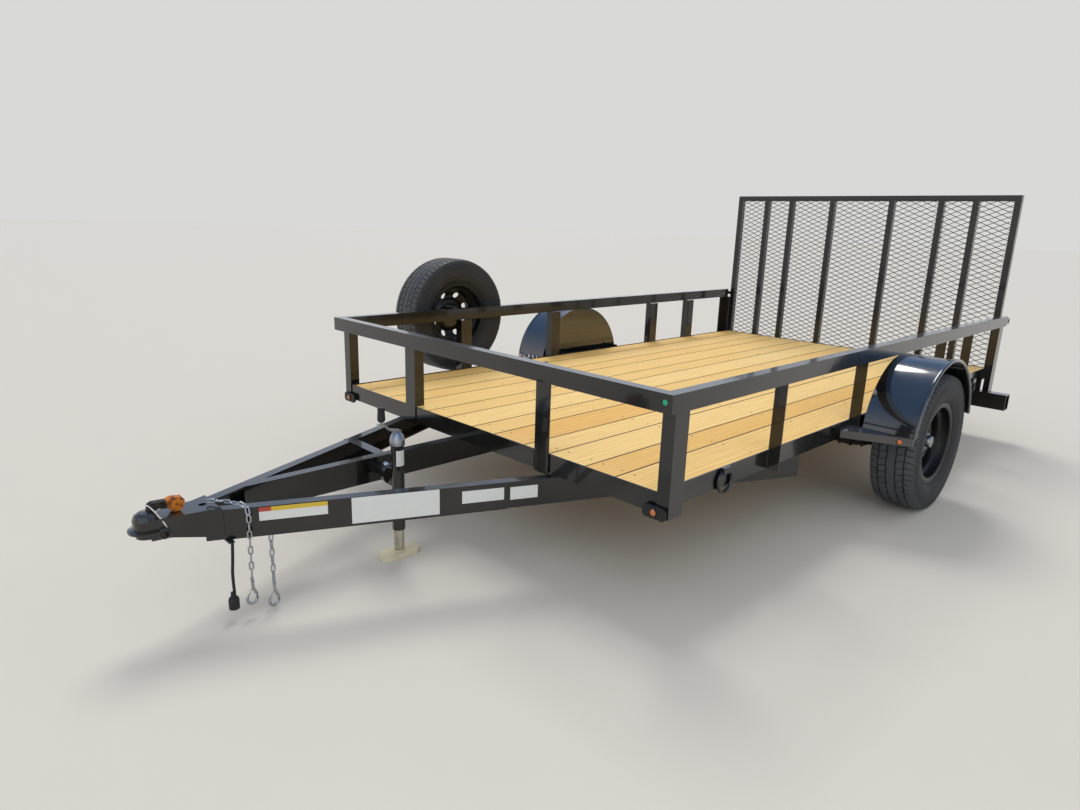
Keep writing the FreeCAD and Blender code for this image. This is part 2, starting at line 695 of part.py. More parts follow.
for word, x_text in (("outer", "spring_x + leaf_wide / 2 + cheek_gap"),
                     ("inner", "spring_x - leaf_wide / 2 - cheek_gap - cheek")):
    cheeks.append(pad("front_cheek_" + word, "YZ_Plane", [("-45", "low - eye_z"), ("45", "low - eye_z"),
                                                          ("20", "-12"), ("8", "-20"), ("-8", "-20"), ("-20", "-12")],
                      "cheek", x=x_text, y="wheel_y - leaf_half", z="eye_z"))
    cheeks.append(pad("rear_cheek_" + word, "YZ_Plane", [("-20", "low - eye_z"), ("70", "low - eye_z"),
                                                         ("52", "10"), ("28", "10")],
                      "cheek", x=x_text, y="wheel_y + leaf_half", z="eye_z"))
    shift = " + cheek + cheek_gap" if word == "outer" else " - cheek - cheek_gap"
    cheeks.append(pad("shackle_" + word, "YZ_Plane", [("-14", "-14"), ("14", "-14"), ("54", "0"), ("54", "28"),
                                                      ("40", "28"), ("-14", "14")],
                      "cheek", x=x_text + shift, y="wheel_y + leaf_half", z="eye_z"))
for word, back, rise in (("front_eye", "-leaf_half", "0"), ("rear_eye", "+leaf_half", "0"),
                         ("shackle", "+leaf_half + shackle_back", "shackle_rise")):
    cheeks.append(rod(word + "_bolt", "eye_bolt", "leaf_wide + 32", "X", x="spring_x - leaf_wide / 2 - 16",
                      y="wheel_y %s" % back, z="eye_z + %s" % rise))
clasp_room = "axle_radius + 1"
clasp_out = "axle_radius + 1 + 2 * clasp_rod"
clasp_loop = [("-(%s)" % clasp_out, "-clasp_drop"), ("-(%s)" % clasp_out, "14"), ("-24", "%s - 7" % clasp_out),
              ("-12", clasp_out), ("12", clasp_out), ("24", "%s - 7" % clasp_out), (clasp_out, "14"),
              (clasp_out, "-clasp_drop"), (clasp_room, "-clasp_drop"), (clasp_room, "11"), ("16", "%s - 4" % clasp_room),
              ("8", clasp_room), ("-8", clasp_room), ("-16", "%s - 4" % clasp_room), ("-(%s)" % clasp_room, "11"),
              ("-(%s)" % clasp_room, "-clasp_drop")]
clasps = [pad("clasp_" + word, "YZ_Plane", clasp_loop, "2 * clasp_rod", x=x_text, y="wheel_y", z="tyre_radius")
          for word, x_text in (("outer", "spring_x + leaf_wide / 2 + 2"),
                               ("inner", "spring_x - leaf_wide / 2 - 2 - 2 * clasp_rod"))]
tie = box("tie_plate", "leaf_wide + 40", "2 * axle_radius + 50", "8", x="spring_x - leaf_wide / 2 - 20",
          y="wheel_y - axle_radius - 25", z="leaf_low - 24")
seat = box("spring_seat", "leaf_wide", "70", "12", x="spring_x - leaf_wide / 2", y="wheel_y - 35",
           z="leaf_low + leaf_thick + 0.5")
both("spring_gear", fuse("hangers", *cheeks), fuse("clasp_set", tie, *clasps), cut("seat_block", seat, beam))

# Wheel arches with a rolled outer lip and a closed inner panel
arch_loop = [("arch_inner", "0"), ("arch_inner + arch_steel", "0"), ("arch_inner + arch_steel", "arch_radius"),
             ("arch_outer - 9", "arch_radius"), ("arch_outer - 6", "arch_radius - 5"), ("arch_outer", "arch_radius - 7"),
             ("arch_outer + 6", "arch_radius - 4"), ("arch_outer + 8", "arch_radius + 2"),
             ("arch_outer + 5", "arch_radius + 8"), ("arch_outer - 2", "arch_radius + 9"),
             ("arch_outer - 9", "arch_radius + arch_steel"), ("arch_inner", "arch_radius + arch_steel")]
both("fender", rounded("arch_shell", arch_loop, sides="arch_sides", angle="arch_angle", y="arch_y", z="arch_z"))
step_plate = pad("step_plate", "XY_Plane", [("frame_half", "post_b - 107"), ("frame_half + 24", "post_b - step_front"),
                                            ("arch_outer", "arch_front - 13"), ("arch_outer", "arch_front"),
                                            ("arch_inner", "arch_front"), ("arch_inner", "post_b"),
                                            ("frame_half", "post_b")],
                 "steel", z="step_low")
step_edge = pad("step_edge", "XY_Plane", [("frame_half + 24", "post_b - step_front"), ("arch_outer", "arch_front - 13"),
                                          ("arch_outer", "arch_front - 8"), ("frame_half + 24", "post_b - step_front + 5")],
                "step_edge", z="step_low - step_edge")
ties = [box("arch_tie_" + word, "arch_inner - frame_half", "steel", "angle_wide", x="frame_half", y=y_text,
            z="step_low - 14") for word, y_text in (("front", "arch_y - 252"), ("rear", "arch_y + 308"))]
both("fender_step", fuse("front_step", step_plate, step_edge), *ties)

# Jack: a cross pipe on the centre channel carries the swivel; the screw slides the inner tube
pipe = rod("mount_pipe", "24", "centre_face - 4", "X", sides=24, x="-centre_face", y="-jack_y", z="jack_z")
disc = rod("mount_disc", "swivel_radius", "swivel_thick", "X", sides=24, x="-4 - swivel_thick", y="-jack_y", z="jack_z")
pivot = cylinder("mount_pivot", "pivot_radius", "20", "X", x="-4", y="-jack_y", z="jack_z")
node("jack_mount", fuse("jack_mount_whole", pipe, disc, pivot))
swivel = rod("swivel_disc", "swivel_radius", "swivel_thick", "X", sides=24, x="-4 + turn_gap", y="-jack_y", z="jack_z")
saddle = box("swivel_saddle", "24", "44", "70", x="4", y="-jack_y - 22", z="jack_z - 35")
tube = rod("jack_tube_bar", "jack_outer", "jack_high - jack_low", sides=24, x="jack_x", y="-jack_y", z="jack_low")
cap = rounded("jack_cap", [("0", "0"), ("jack_outer + 3", "0"), ("jack_outer + 3", "24"), ("jack_outer - 2", "38"),
                           ("14", "jack_cap"), ("0", "jack_cap")], upright=True, x="jack_x", y="-jack_y", z="jack_high")
swivel_room = cylinder("swivel_room", "pivot_radius + turn_gap", "24", "X", x="-5", y="-jack_y", z="jack_z")
tube_room = rod("tube_room", "jack_inner + turn_gap", "jack_high - jack_low + 1", sides=24, x="jack_x", y="-jack_y",
                z="jack_low - 1")
node("jack_tube", cut("jack_body", fuse("jack_whole", swivel, saddle, tube, cap),
                      group("jack_rooms", swivel_room, tube_room)))
arm = pad("crank_arm", "YZ_Plane", [("-12", "0"), ("12", "0"), ("12", "9"), ("-30", "18"), ("-60", "42"),
                                    ("-80", "45"), ("-80", "37"), ("-58", "33"), ("-34", "11"), ("-12", "6")],
          "22", middle=True, x="jack_x", y="-jack_y", z="jack_top")
stem = rod("crank_stem", "5", "12", sides=12, x="jack_x", y="-jack_y - crank_reach", z="jack_top + 40")
node("jack_crank", fuse("crank", arm, stem))
node("jack_grip", rounded("crank_grip", [("0", "0"), ("11", "0"), ("15", "8"), ("13", "grip_tall - 12"),
                                         ("14", "grip_tall - 4"), ("9", "grip_tall"), ("0", "grip_tall")], sides=16,
                          upright=True, x="jack_x", y="-jack_y - crank_reach", z="jack_top + 52"))
slide = cut("inner_tube", rod("inner_tube_bar", "jack_inner", "350", sides=24, x="jack_x", y="-jack_y", z="foot_tall"),
            rod("inner_tube_room", "jack_inner - jack_wall", "360", sides=24, x="jack_x", y="-jack_y",
                z="foot_tall - 5"))
clip = "foot_wide / 2 - 22"
foot_loop = [("-foot_wide / 2", "-(foot_long / 2 - 30)"), ("-(%s)" % clip, "-foot_long / 2"), (clip, "-foot_long / 2"),
             ("foot_wide / 2", "-(foot_long / 2 - 30)"), ("foot_wide / 2", "foot_long / 2 - 30"), (clip, "foot_long / 2"),
             ("-(%s)" % clip, "foot_long / 2"), ("-foot_wide / 2", "foot_long / 2 - 30")]
foot_inner = [("-(foot_wide / 2 - 3)", "-(foot_long / 2 - 31)"), ("-(%s - 1)" % clip, "-(foot_long / 2 - 3)"),
              ("%s - 1" % clip, "-(foot_long / 2 - 3)"), ("foot_wide / 2 - 3", "-(foot_long / 2 - 31)"),
              ("foot_wide / 2 - 3", "foot_long / 2 - 31"), ("%s - 1" % clip, "foot_long / 2 - 3"),
              ("-(%s - 1)" % clip, "foot_long / 2 - 3"), ("-(foot_wide / 2 - 3)", "foot_long / 2 - 31")]
foot_block = pad("foot_block", "XY_Plane", foot_loop, "foot_tall", x="jack_x", y="-jack_y")
foot_room = pad("foot_room", "XY_Plane", foot_inner, "foot_tall - foot_steel + 5", x="jack_x", y="-jack_y", z="-5")
node("jack_leg", fuse("leg_and_foot", slide, cut("foot_tray", foot_block, foot_room)))

# Spare carrier outside the right rail
arm_tube = box("spare_arm", "spare_x - rail_half - 6", "50", "50", x="-spare_x + 6", y="spare_y - 25",
               z="rail_top - rail_tall / 2 - 25")
plate = rod("spare_plate", "70", "6", "X", sides=24, x="-spare_x", y="spare_y", z="spare_z")
node("spare_mount", fuse("spare_carrier", arm_tube, plate))

# Ramp gate on two pins behind the rear member
uprights = []
for word, x_text in (("a", "gate_half - gate_angle"), ("b", "upright_b"), ("c", "upright_c"), ("d", "upright_d")):
    loop = [("0", "0"), ("gate_angle", "0"), ("gate_angle", "gate_angle"), ("gate_angle - gate_steel", "gate_angle"),
            ("gate_angle - gate_steel", "gate_steel"), ("0", "gate_steel")]
    for name, text in ((word, x_text), (word + "_right", "-(%s) - gate_angle" % x_text)):
        uprights.append(pad("upright_" + name, "XY_Plane", loop, "gate_top - gate_low", x=text, y="gate_y", z="gate_low"))
for word, z_text in (("low", "gate_low"), ("top", "gate_top - gate_angle")):
    loop = [("0", "0"), ("gate_angle", "0"), ("gate_angle", "gate_steel"), ("gate_steel", "gate_steel"),
            ("gate_steel", "gate_angle"), ("0", "gate_angle")]
    uprights.append(pad("crossbar_" + word, "YZ_Plane", loop, "2 * gate_half", x="-gate_half", y="gate_y", z=z_text))
node("gate_frame", fuse("gate_grid", *uprights))
hinge_pins = []
lugs = []
for word, sign in (("left", ""), ("right", "-")):
    middle = sign + "hinge_x"
    hinge_pins.append(fuse("hinge_" + word, cylinder("hinge_pin_" + word, "hinge_pin", "hinge_pin_long", "X",
                                                     x=middle + " - hinge_pin_long / 2", y="hinge_y", z="hinge_z"),
                           pad("hinge_tab_" + word, "YZ_Plane", [("-10", "-10"), ("10", "-10"), ("12", "hinge_drop"),
                                                                 ("-12", "hinge_drop")], "tab_thick",
                               x=middle + " - tab_thick / 2", y="hinge_y", z="hinge_z")))
    for side_word, shift in (("a", "-26"), ("b", "26 - lug_thick")):
        lug = pad("lug_%s_%s" % (word, side_word), "YZ_Plane",
                  [("bed_length - hinge_y", "40"), ("bed_length - hinge_y", "-lug_radius"), ("6", "-lug_radius"),
                   ("lug_radius", "-6"), ("lug_radius", "6"), ("6", "lug_radius"), ("-20", "lug_radius"), ("-26", "40")],
                  "lug_thick", x=middle + " + " + shift, y="hinge_y", z="hinge_z")
        bore = cylinder("lug_bore_%s_%s" % (word, side_word), "hinge_pin + hinge_gap", "lug_thick + 10", "X",
                        x=middle + " + " + shift + " - 5", y="hinge_y", z="hinge_z")
        lugs.append(cut("lug_cut_%s_%s" % (word, side_word), lug, bore))


def clipped(corners, normal, limit):
    """The part of a polygon where its distance along the normal stays under the limit."""
    kept = []
    for i, here in enumerate(corners):
        then = corners[(i + 1) % len(corners)]
        a = here[0] * normal[0] + here[1] * normal[1] - limit
        b = then[0] * normal[0] + then[1] * normal[1] - limit
        if a <= 0:
            kept.append(here)
        if a * b < 0:
            share = a / (a - b)
            kept.append((here[0] + share * (then[0] - here[0]), here[1] + share * (then[1] - here[1])))
    return kept


def mesh_layer(name, lean, y_near):
    """One direction of the gate's mesh: a border sheet with parallel slots between slanting strands."""
    half = value("gate_half - mesh_inset")
    bottom = value("gate_low + mesh_inset / 2")
    top = value("gate_top - mesh_inset / 2")
    border = value("mesh_border")
    rise = value("mesh_short")
    run = value("mesh_long")
    angle = math.atan2(rise * lean, run)
    normal = (-math.sin(angle), math.cos(angle))
    pitch = rise * math.cos(angle)
    strand = value("mesh_strand")
    frame = [(-half + border, bottom + border), (half - border, bottom + border), (half - border, top - border),
             (-half + border, top - border)]
    reach = [x * normal[0] + z * normal[1] for x, z in frame]
    outer = [(-half, bottom), (half, bottom), (half, top), (-half, top)]
    wires = [Part.makePolygon([V(x, y_near, z) for x, z in outer + outer[:1]])]
    level = min(reach)
    while level < max(reach):
        slot = clipped(clipped(frame, normal, level + pitch - strand), (-normal[0], -normal[1]), -level)
        area = 0.0
        for i, (x, z) in enumerate(slot):
            area += x * slot[(i + 1) % len(slot)][1] - slot[(i + 1) % len(slot)][0] * z
        if len(slot) > 2 and abs(area) > 2 * pitch * pitch:
            wires.append(Part.makePolygon([V(x, y_near, z) for x, z in slot + slot[:1]]))
        level += pitch
    face = Part.Face(wires[0])
    holes = [Part.Face(wire) for wire in wires[1:]]
    return solid(name, face.cut(Part.makeCompound(holes)).Faces[0].extrude(V(0, value("mesh_thick"), 0)))


node("gate_mesh_front", mesh_layer("strands_front", 1, value("gate_y - 2 * mesh_thick")))
node("gate_mesh_back", mesh_layer("strands_back", -1, value("gate_y - mesh_thick")))
keeper = pad("latch_keeper", "XY_Plane", [("0", "0"), ("30", "0"), ("30", "60"), ("24", "60"), ("24", "6"), ("0", "6")],
             "40", x="rail_half - 32", y="bed_length", z="latch_z - 20")
keeper_cut = cut("keeper_plate", keeper, rod("keeper_bore", "latch_rod + 3", "30", "X", x="rail_half - 20",
                                             y="latch_y", z="latch_z"))
node("gate_lugs", keeper_cut, mirrored("keeper_mirror", keeper_cut), *lugs)
bolt = rod("latch_bolt", "latch_rod", "rail_half - gate_half - 15", "X", x="gate_half", y="latch_y", z="latch_z")
sleeve = box("latch_sleeve", "rail_half - gate_half - 25", "24", "24", x="gate_half", y="latch_y - 12", z="latch_z - 12")
latch = fuse("latch", sleeve, bolt)
node("gate_fittings", latch, mirrored("latch_mirror", latch), *hinge_pins)

# Rear light bar: an open tube under the frame's rear end, hung on the corner posts and two plates
bar_outer, bar_inner = tube_loops("lamp_bar_deep", "lamp_bar_tall", "lamp_bar_wall")
light_bar = pad("light_tube", "YZ_Plane", bar_outer, "2 * lamp_bar_half", holes=[bar_inner], x="-lamp_bar_half",
                y="bed_length - lamp_bar_deep", z="lamp_bar_top - lamp_bar_tall")
hanger = box("bar_hanger", "110", "steel", "low - lamp_bar_top", x="frame_half - 115", y="bed_length - 40",
             z="lamp_bar_top")
node("rear_light_bar", fuse("light_bar", light_bar, hanger, mirrored("hanger_mirror", hanger)))
tail_lens = box("lamp_lens", "lens_wide", "lens_thick", "lens_tall", x="lamp_bar_half - 20 - lens_wide", y="bed_length",
                z="lamp_bar_top - (lamp_bar_tall + lens_tall) / 2")
node("tail_lamps", tail_lens, mirrored("lens_mirror", tail_lens))

# Round marker lamps: on a plate under each front corner and on the steps' front edges
base_loop = [("-47", "-14"), ("-38", "-22"), ("38", "-22"), ("47", "-14"), ("47", "14"), ("38", "22"), ("-38", "22"),
             ("-47", "14")]
lamp_base = pad("lamp_base", "XZ_Plane", base_loop, "marker_plate", x="frame_half + 2", y="-steel", z="low + 9")
node("marker_bases", lamp_base, mirrored("base_mirror", lamp_base))
lens = rod("marker_lens", "marker_radius", "marker_deep", "Y", sides=12, x="frame_half + 2",
           y="-steel - marker_plate - marker_deep", z="low + 9")
edge_turn = "atan((arch_front - 13 - post_b + step_front) / (arch_outer - frame_half - 24))"
side_round = rod("side_round", "marker_radius", "marker_deep", "Y", sides=12, y="-marker_deep")
side_lens = group("side_lens", side_round, x="arch_outer - 50", y="arch_front - 13 - 50 * tan(%s)" % edge_turn,
                  z="step_low - 15", turn=edge_turn)
node("marker_lamps", lens, mirrored("front_lens_mirror", lens), side_lens, mirrored("side_lens_mirror", side_lens))

# Tie-down rings on the frame's outer faces: (name, middle along the frame, middle height)
RINGS = [
    ("front", "ring_y", "frame_top - ring_drop"),
    ("rear", "bed_length - ring_back", "frame_top - ring_drop - 42"),
]
ring_loop = [("-ring_bar / 2", "ring_half - ring_bar * 0.75"), ("-ring_bar / 2", "ring_half - ring_bar * 0.25"),
             ("0", "ring_half"), ("ring_bar / 2", "ring_half - ring_bar * 0.25"),
             ("ring_bar / 2", "ring_half - ring_bar * 0.75"), ("0", "ring_half - ring_bar")]
rings = []
for word, y_text, z_text in RINGS:
    ring = rounded("tie_ring_" + word, ring_loop, sides=16, x="frame_half + ring_bar / 2 + 1", y=y_text, z=z_text)
    strap = box("ring_strap_" + word, "ring_bar + 5", "ring_half", "2 * ring_bar", x="frame_half",
                y=y_text + " - ring_half / 2", z=z_text + " + ring_half - 1.6 * ring_bar")
    rings.append(fuse("tie_down_" + word, ring, strap))
node("tie_down_rings", *(rings + [mirrored("other_" + ring.Name, ring) for ring in rings]))


# Safety chains, link by link, and their hooks
def chain_link():
    """One flat link, its length along Z."""
    long = value("link_long") / 2
    wide = value("link_wide") / 2
    thick = value("link_bar")
    outer = [(-wide, -long + 8), (-wide + 7, -long), (wide - 7, -long), (wide, -long + 8), (wide, long - 8),
             (wide - 7, long), (-wide + 7, long), (-wide, long - 8)]
    share = [((x - thick * (1 if x > 0 else -1)) if abs(x) > thick else x * 0.5,
              z - thick * (1 if z > 0 else -1)) for x, z in outer]
    face = Part.Face(Part.makePolygon([V(x, 0, z) for x, z in outer + outer[:1]]))
    room = Part.Face(Part.makePolygon([V(x, 0, z) for x, z in share + share[:1]]))
    link = face.cut(room).Faces[0].extrude(V(0, thick, 0))
    link.translate(V(0, -thick / 2, 0))
    return link


def chain(name, route):
    """Links set head to tail along a route, each turned a quarter on the one before."""
    links = []
    spots = [V(value(x), value(y), value(z)) for x, y, z in route]
    pitch = value("link_long - 2 * link_bar + link_play")
    travel = pitch / 2
    for start, end in zip(spots, spots[1:]):
        run = end - start
        while travel < run.Length:
            link = chain_link()
            link.rotate(V(0, 0, 0), V(0, 0, 1), 45 + 90 * (len(links) % 2))
            turn = FreeCAD.Rotation(V(0, 0, 1), run)
            link.Placement = FreeCAD.Placement(start + run * (travel / run.Length), turn).multiply(link.Placement)
            links.append(link)
            travel += pitch
        travel -= run.Length
    return solid(name, Part.makeCompound(links))


hook_loop = [("-4", "0"), ("4", "0"), ("6", "-30"), ("16", "-48"), ("17", "-68"), ("6", "-84"), ("-10", "-86"), ("-22", "-76"),
             ("-25", "-58"), ("-18", "-54"), ("-14", "-68"), ("-8", "-75"), ("2", "-74"), ("8", "-66"), ("7", "-52"), ("-3", "-32")]
# Outer face of the tongue leg beside each chain
leg_face_a = "nose_half + (nose_front - chain_a_y) * tan(rake)"
leg_face_b = "nose_half + (nose_front - chain_b_y) * tan(rake)"
chain_a = chain("chain_links_a", [("12", "-nose_front + 22", "low + sheet_thick + 13"),
                                  ("42", "-skirt_rear + 14", "low + sheet_thick + 13"),
                                  (leg_face_a + " + 1", "-chain_a_y - 9", "low + 16"),
                                  (leg_face_a + " + 13", "-chain_a_y + 3", "low + 7"),
                                  (leg_face_a + " + 23", "-chain_a_y + 3", "low - 17"),
                                  (leg_face_a + " + 21", "-chain_a_y", "hook_top_a + 6")])
hook_a = pad("hook_a", "YZ_Plane", hook_loop, "9", middle=True, x=leg_face_a + " + 21", y="-chain_a_y", z="hook_top_a")
node("chain_left", chain_a, hook_a)
chain_b = chain("chain_links_b", [(leg_face_b + " - 27", "-chain_b_y + 5", "tongue_low - 7"),
                                  (leg_face_b + " - 14", "-chain_b_y", "hook_top_b + 8")])
hook_b = pad("hook_b", "YZ_Plane", hook_loop, "9", middle=True, x=leg_face_b + " - 14", y="-chain_b_y", z="hook_top_b")
node("chain_right", chain_b, hook_b)

# Wiring cable from its clip under the left leg down to its plug: (across, along, height) of each turning point
CABLE = [
    ("cable_x", "-cable_y", "clip_low + 0.8"),
    ("cable_x + 3", "-cable_y - 4", "clip_low + 0.8 - (clip_low + 0.8 - plug_top) / 3"),
    ("cable_x - 3", "-cable_y - 8", "plug_top + (clip_low + 0.8 - plug_top) / 3"),
    ("cable_x - 1", "-cable_y - 6", "plug_top"),
]


def cable_tube(route, radius):
    """Straight runs joined by tangent arcs, each as wide as its two runs allow."""
    spots = [V(value(x), value(y), value(z)) for x, y, z in route]
    edges = []
    here = spots[0]
    for before, corner, after in zip(spots, spots[1:], spots[2:]):
        back = (before - corner)
        ahead = (after - corner)
        half = math.pi / 2 - back.getAngle(ahead) / 2
        trim = 0.45 * min(back.Length, ahead.Length)
        print("arc radius", round(trim / math.tan(half), 1))
        back.normalize()
        ahead.normalize()
        inward = back + ahead
        inward.normalize()
        arc_radius = trim / math.tan(half)
        centre = corner + inward * (arc_radius / math.cos(half))
        edges.append(Part.makeLine(here, corner + back * trim))
        edges.append(Part.Arc(corner + back * trim, centre - inward * arc_radius, corner + ahead * trim).toShape())
        here = corner + ahead * trim
    edges.append(Part.makeLine(here, spots[-1]))
    path = Part.Wire(edges)
    ring = Part.Wire(Part.makeCircle(radius, spots[0], spots[1] - spots[0]))
    made = path.makePipeShell([ring], True, False)
    print("cable", round(path.Length, 1), "volume share", made.Volume / (math.pi * radius ** 2 * path.Length))
    return made


node("wiring_cable", solid("cable_run", cable_tube(CABLE, value("cable_radius"))))
node("wiring_plug", rounded("plug_body", [("0", "0"), ("8", "0"), ("9", "-14"), ("15", "-20"), ("17", "-26"),
                                          ("17", "-plug_tall"), ("0", "-plug_tall")], sides=16, upright=True,
                            x="cable_x - 1", y="-cable_y - 6", z="plug_top"))
node("cable_clip", box("clip_plate", "44", "18", "tongue_low - clip_low", x="cable_x - 36", y="-cable_y - 9",
                       z="clip_low"))

doc.recompute()

faults = []
for item in doc.Objects:
    if "Invalid" in item.State or "Error" in item.State:
        faults.append("%s: %s" % (item.Name, item.State))
for item in NODES:
    if item.Shape.isNull() or not item.Shape.isValid() or not item.Shape.Solids:
        faults.append("%s: no valid shape" % item.Name)
if faults:
    raise RuntimeError("; ".join(faults))

os.makedirs("parts", exist_ok=True)
for item in NODES:
    shape = item.Shape
    if len(shape.Solids) == 1:
        shape = shape.Solids[0]
    shape.exportStep("parts/%s.step" % item.Label)
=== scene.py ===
import bmesh
import bpy
import math
import random
from collections import namedtuple
from mathutils import Matrix, Vector


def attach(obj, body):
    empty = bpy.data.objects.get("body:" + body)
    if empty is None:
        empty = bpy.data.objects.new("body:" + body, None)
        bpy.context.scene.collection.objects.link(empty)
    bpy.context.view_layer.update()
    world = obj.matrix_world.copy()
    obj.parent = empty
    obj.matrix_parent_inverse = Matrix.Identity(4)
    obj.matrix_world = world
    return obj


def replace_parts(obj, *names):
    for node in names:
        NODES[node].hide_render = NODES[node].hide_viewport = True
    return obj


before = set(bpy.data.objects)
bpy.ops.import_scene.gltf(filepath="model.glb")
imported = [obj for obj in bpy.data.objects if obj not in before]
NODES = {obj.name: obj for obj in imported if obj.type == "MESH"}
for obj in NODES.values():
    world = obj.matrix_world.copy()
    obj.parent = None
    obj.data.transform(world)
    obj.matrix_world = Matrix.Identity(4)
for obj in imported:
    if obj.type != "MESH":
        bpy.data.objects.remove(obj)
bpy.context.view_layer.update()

# Places are in the drawing's millimetres: x to the trailer's left, y back from the bed frame's front face, z up
MM = 0.001
MIDDLE_Y = 1159.05  # the y at the scene's origin


def at(x, y, z):
    """A point of the drawing in the scene's metres."""
    return Vector((x * MM, (y - MIDDLE_Y) * MM, z * MM))


# Measures of the part that several pieces here go by
TYRE_R = 331.5
WHEEL_X, AXLE_Y = 1183, 1836
SPARE_X, SPARE_Y, SPARE_Z = -1190, 785, 746
STUD_CIRCLE_R = 57.15
SPRING_X = 965
DECK_HALF, DECK_TOP = 983.0, 449.0
BOARD_BROAD, BOARD_NARROW, BOARD_GAP = 183.63, 140.0, 2.2
BOARD_PAIR = 328.03  # a broad and a narrow board with their gaps
RAIL_LOW = 736.5
JACK_X, JACK_Y = 46, -390


# Colours and materials
def colour(text):
    """An sRGB hex colour as linear red, green, blue and alpha."""
    parts = [int(text[i:i + 2], 16) / 255 for i in (1, 3, 5)]
    return tuple(c / 12.92 if c <= 0.04045 else ((c + 0.055) / 1.055) ** 2.4 for c in parts) + (1.0,)


def feed(tree, socket, what):
    """Link a node or one of its outputs to an input, or set the input to a value."""
    if isinstance(what, bpy.types.Node):
        what = next(output for output in what.outputs if output.enabled)
    if isinstance(what, bpy.types.NodeSocket):
        tree.links.new(what, socket)
    else:
        socket.default_value = what


def feed_named(tree, made, sockets):
    """Feed a node's inputs by their names, with _ for a space."""
    for key, what in sockets.items():
        feed(tree, made.inputs[key.replace("_", " ")], what)


def add(tree, kind, *values, **more):
    """One shader node. Values feed its inputs in turn, a name with a capital an input, other names are settings."""
    made = tree.nodes.new("ShaderNode" + kind)
    for key, what in more.items():
        if key[0].islower():
            setattr(made, key, what)
    for socket, what in zip([socket for socket in made.inputs if socket.enabled], values):
        feed(tree, socket, what)
    feed_named(tree, made, {key: what for key, what in more.items() if key[0].isupper()})
    return made


def mottle(tree, place, size_mm, detail=4, stretch=(1, 1, 1)):
    """Soft patches about so many millimetres wide, drawn out along an axis whose stretch is below 1."""
    scaled = add(tree, "Mapping", Vector=place, Scale=stretch)
    return add(tree, "TexNoise", Vector=scaled, Scale=1000 / size_mm, Detail=detail, Roughness=0.55)


def surface(name):
    """A new material with its tree, its shader and the object's own coordinates."""
    made = bpy.data.materials.new(name)
    made.use_nodes = True
    tree = made.node_tree
    shader = tree.nodes["Principled BSDF"]
    place = add(tree, "TexCoord").outputs["Object"]
    return made, tree, shader, place


def enamel(name, base, rough, dust, coat=0.8, coat_ior=1.5):
    """Sprayed gloss paint over steel, with a film of dust where it faces up."""
    made, tree, shader, place = surface(name)
    normal = add(tree, "NewGeometry").outputs["Normal"]
    level = add(tree, "MapRange", add(tree, "SeparateXYZ", normal).outputs["Z"], 0.2, 0.9, 0.25, 1.0)
    film = add(tree, "MapRange", mottle(tree, place, 260, 5), 0.42, 0.72, 0.1, 1.0)
    grit = add(tree, "MapRange", mottle(tree, place, 9, 3), 0.45, 0.75, 0.5, 1.0)
    share = add(tree, "Math", level, film, operation="MULTIPLY")
    share = add(tree, "Math", share, grit, operation="MULTIPLY")
    share = add(tree, "Math", share, dust, operation="MULTIPLY")
    feed_named(tree, shader, {
        "Base_Color": add(tree, "Mix", share, colour(base), colour("#6b655a"), data_type="RGBA"),
        "Roughness": add(tree, "MapRange", share, 0.0, 0.5, rough, rough + 0.35),
        "Normal": add(tree, "Bump", Height=mottle(tree, place, 14, 2), Strength=0.10, Distance=0.6 * MM),
        "Coat_Weight": coat, "Coat_Roughness": 0.06, "Coat_IOR": coat_ior, "Specular_IOR_Level": 0.3})
    return made


def plain(name, base, rough, metal, grain_mm, grain, depth, vary, **more):
    """A plain finish whose tone and roughness waver a little, over a fine grain."""
    made, tree, shader, place = surface(name)
    wave = mottle(tree, place, grain_mm * 6, 4)
    dark = tuple(c * (1 - 2 * vary) for c in colour(base)[:3]) + (1.0,)
    feed_named(tree, shader, {
        "Base_Color": add(tree, "Mix", wave, dark, colour(base), data_type="RGBA"),
        "Roughness": add(tree, "MapRange", wave, 0.3, 0.7, max(rough - 0.07, 0.03), rough + 0.07),
        "Metallic": metal,
        "Normal": add(tree, "Bump", Height=mottle(tree, place, grain_mm, 3), Strength=grain, Distance=depth * MM),
        **more})
    return made


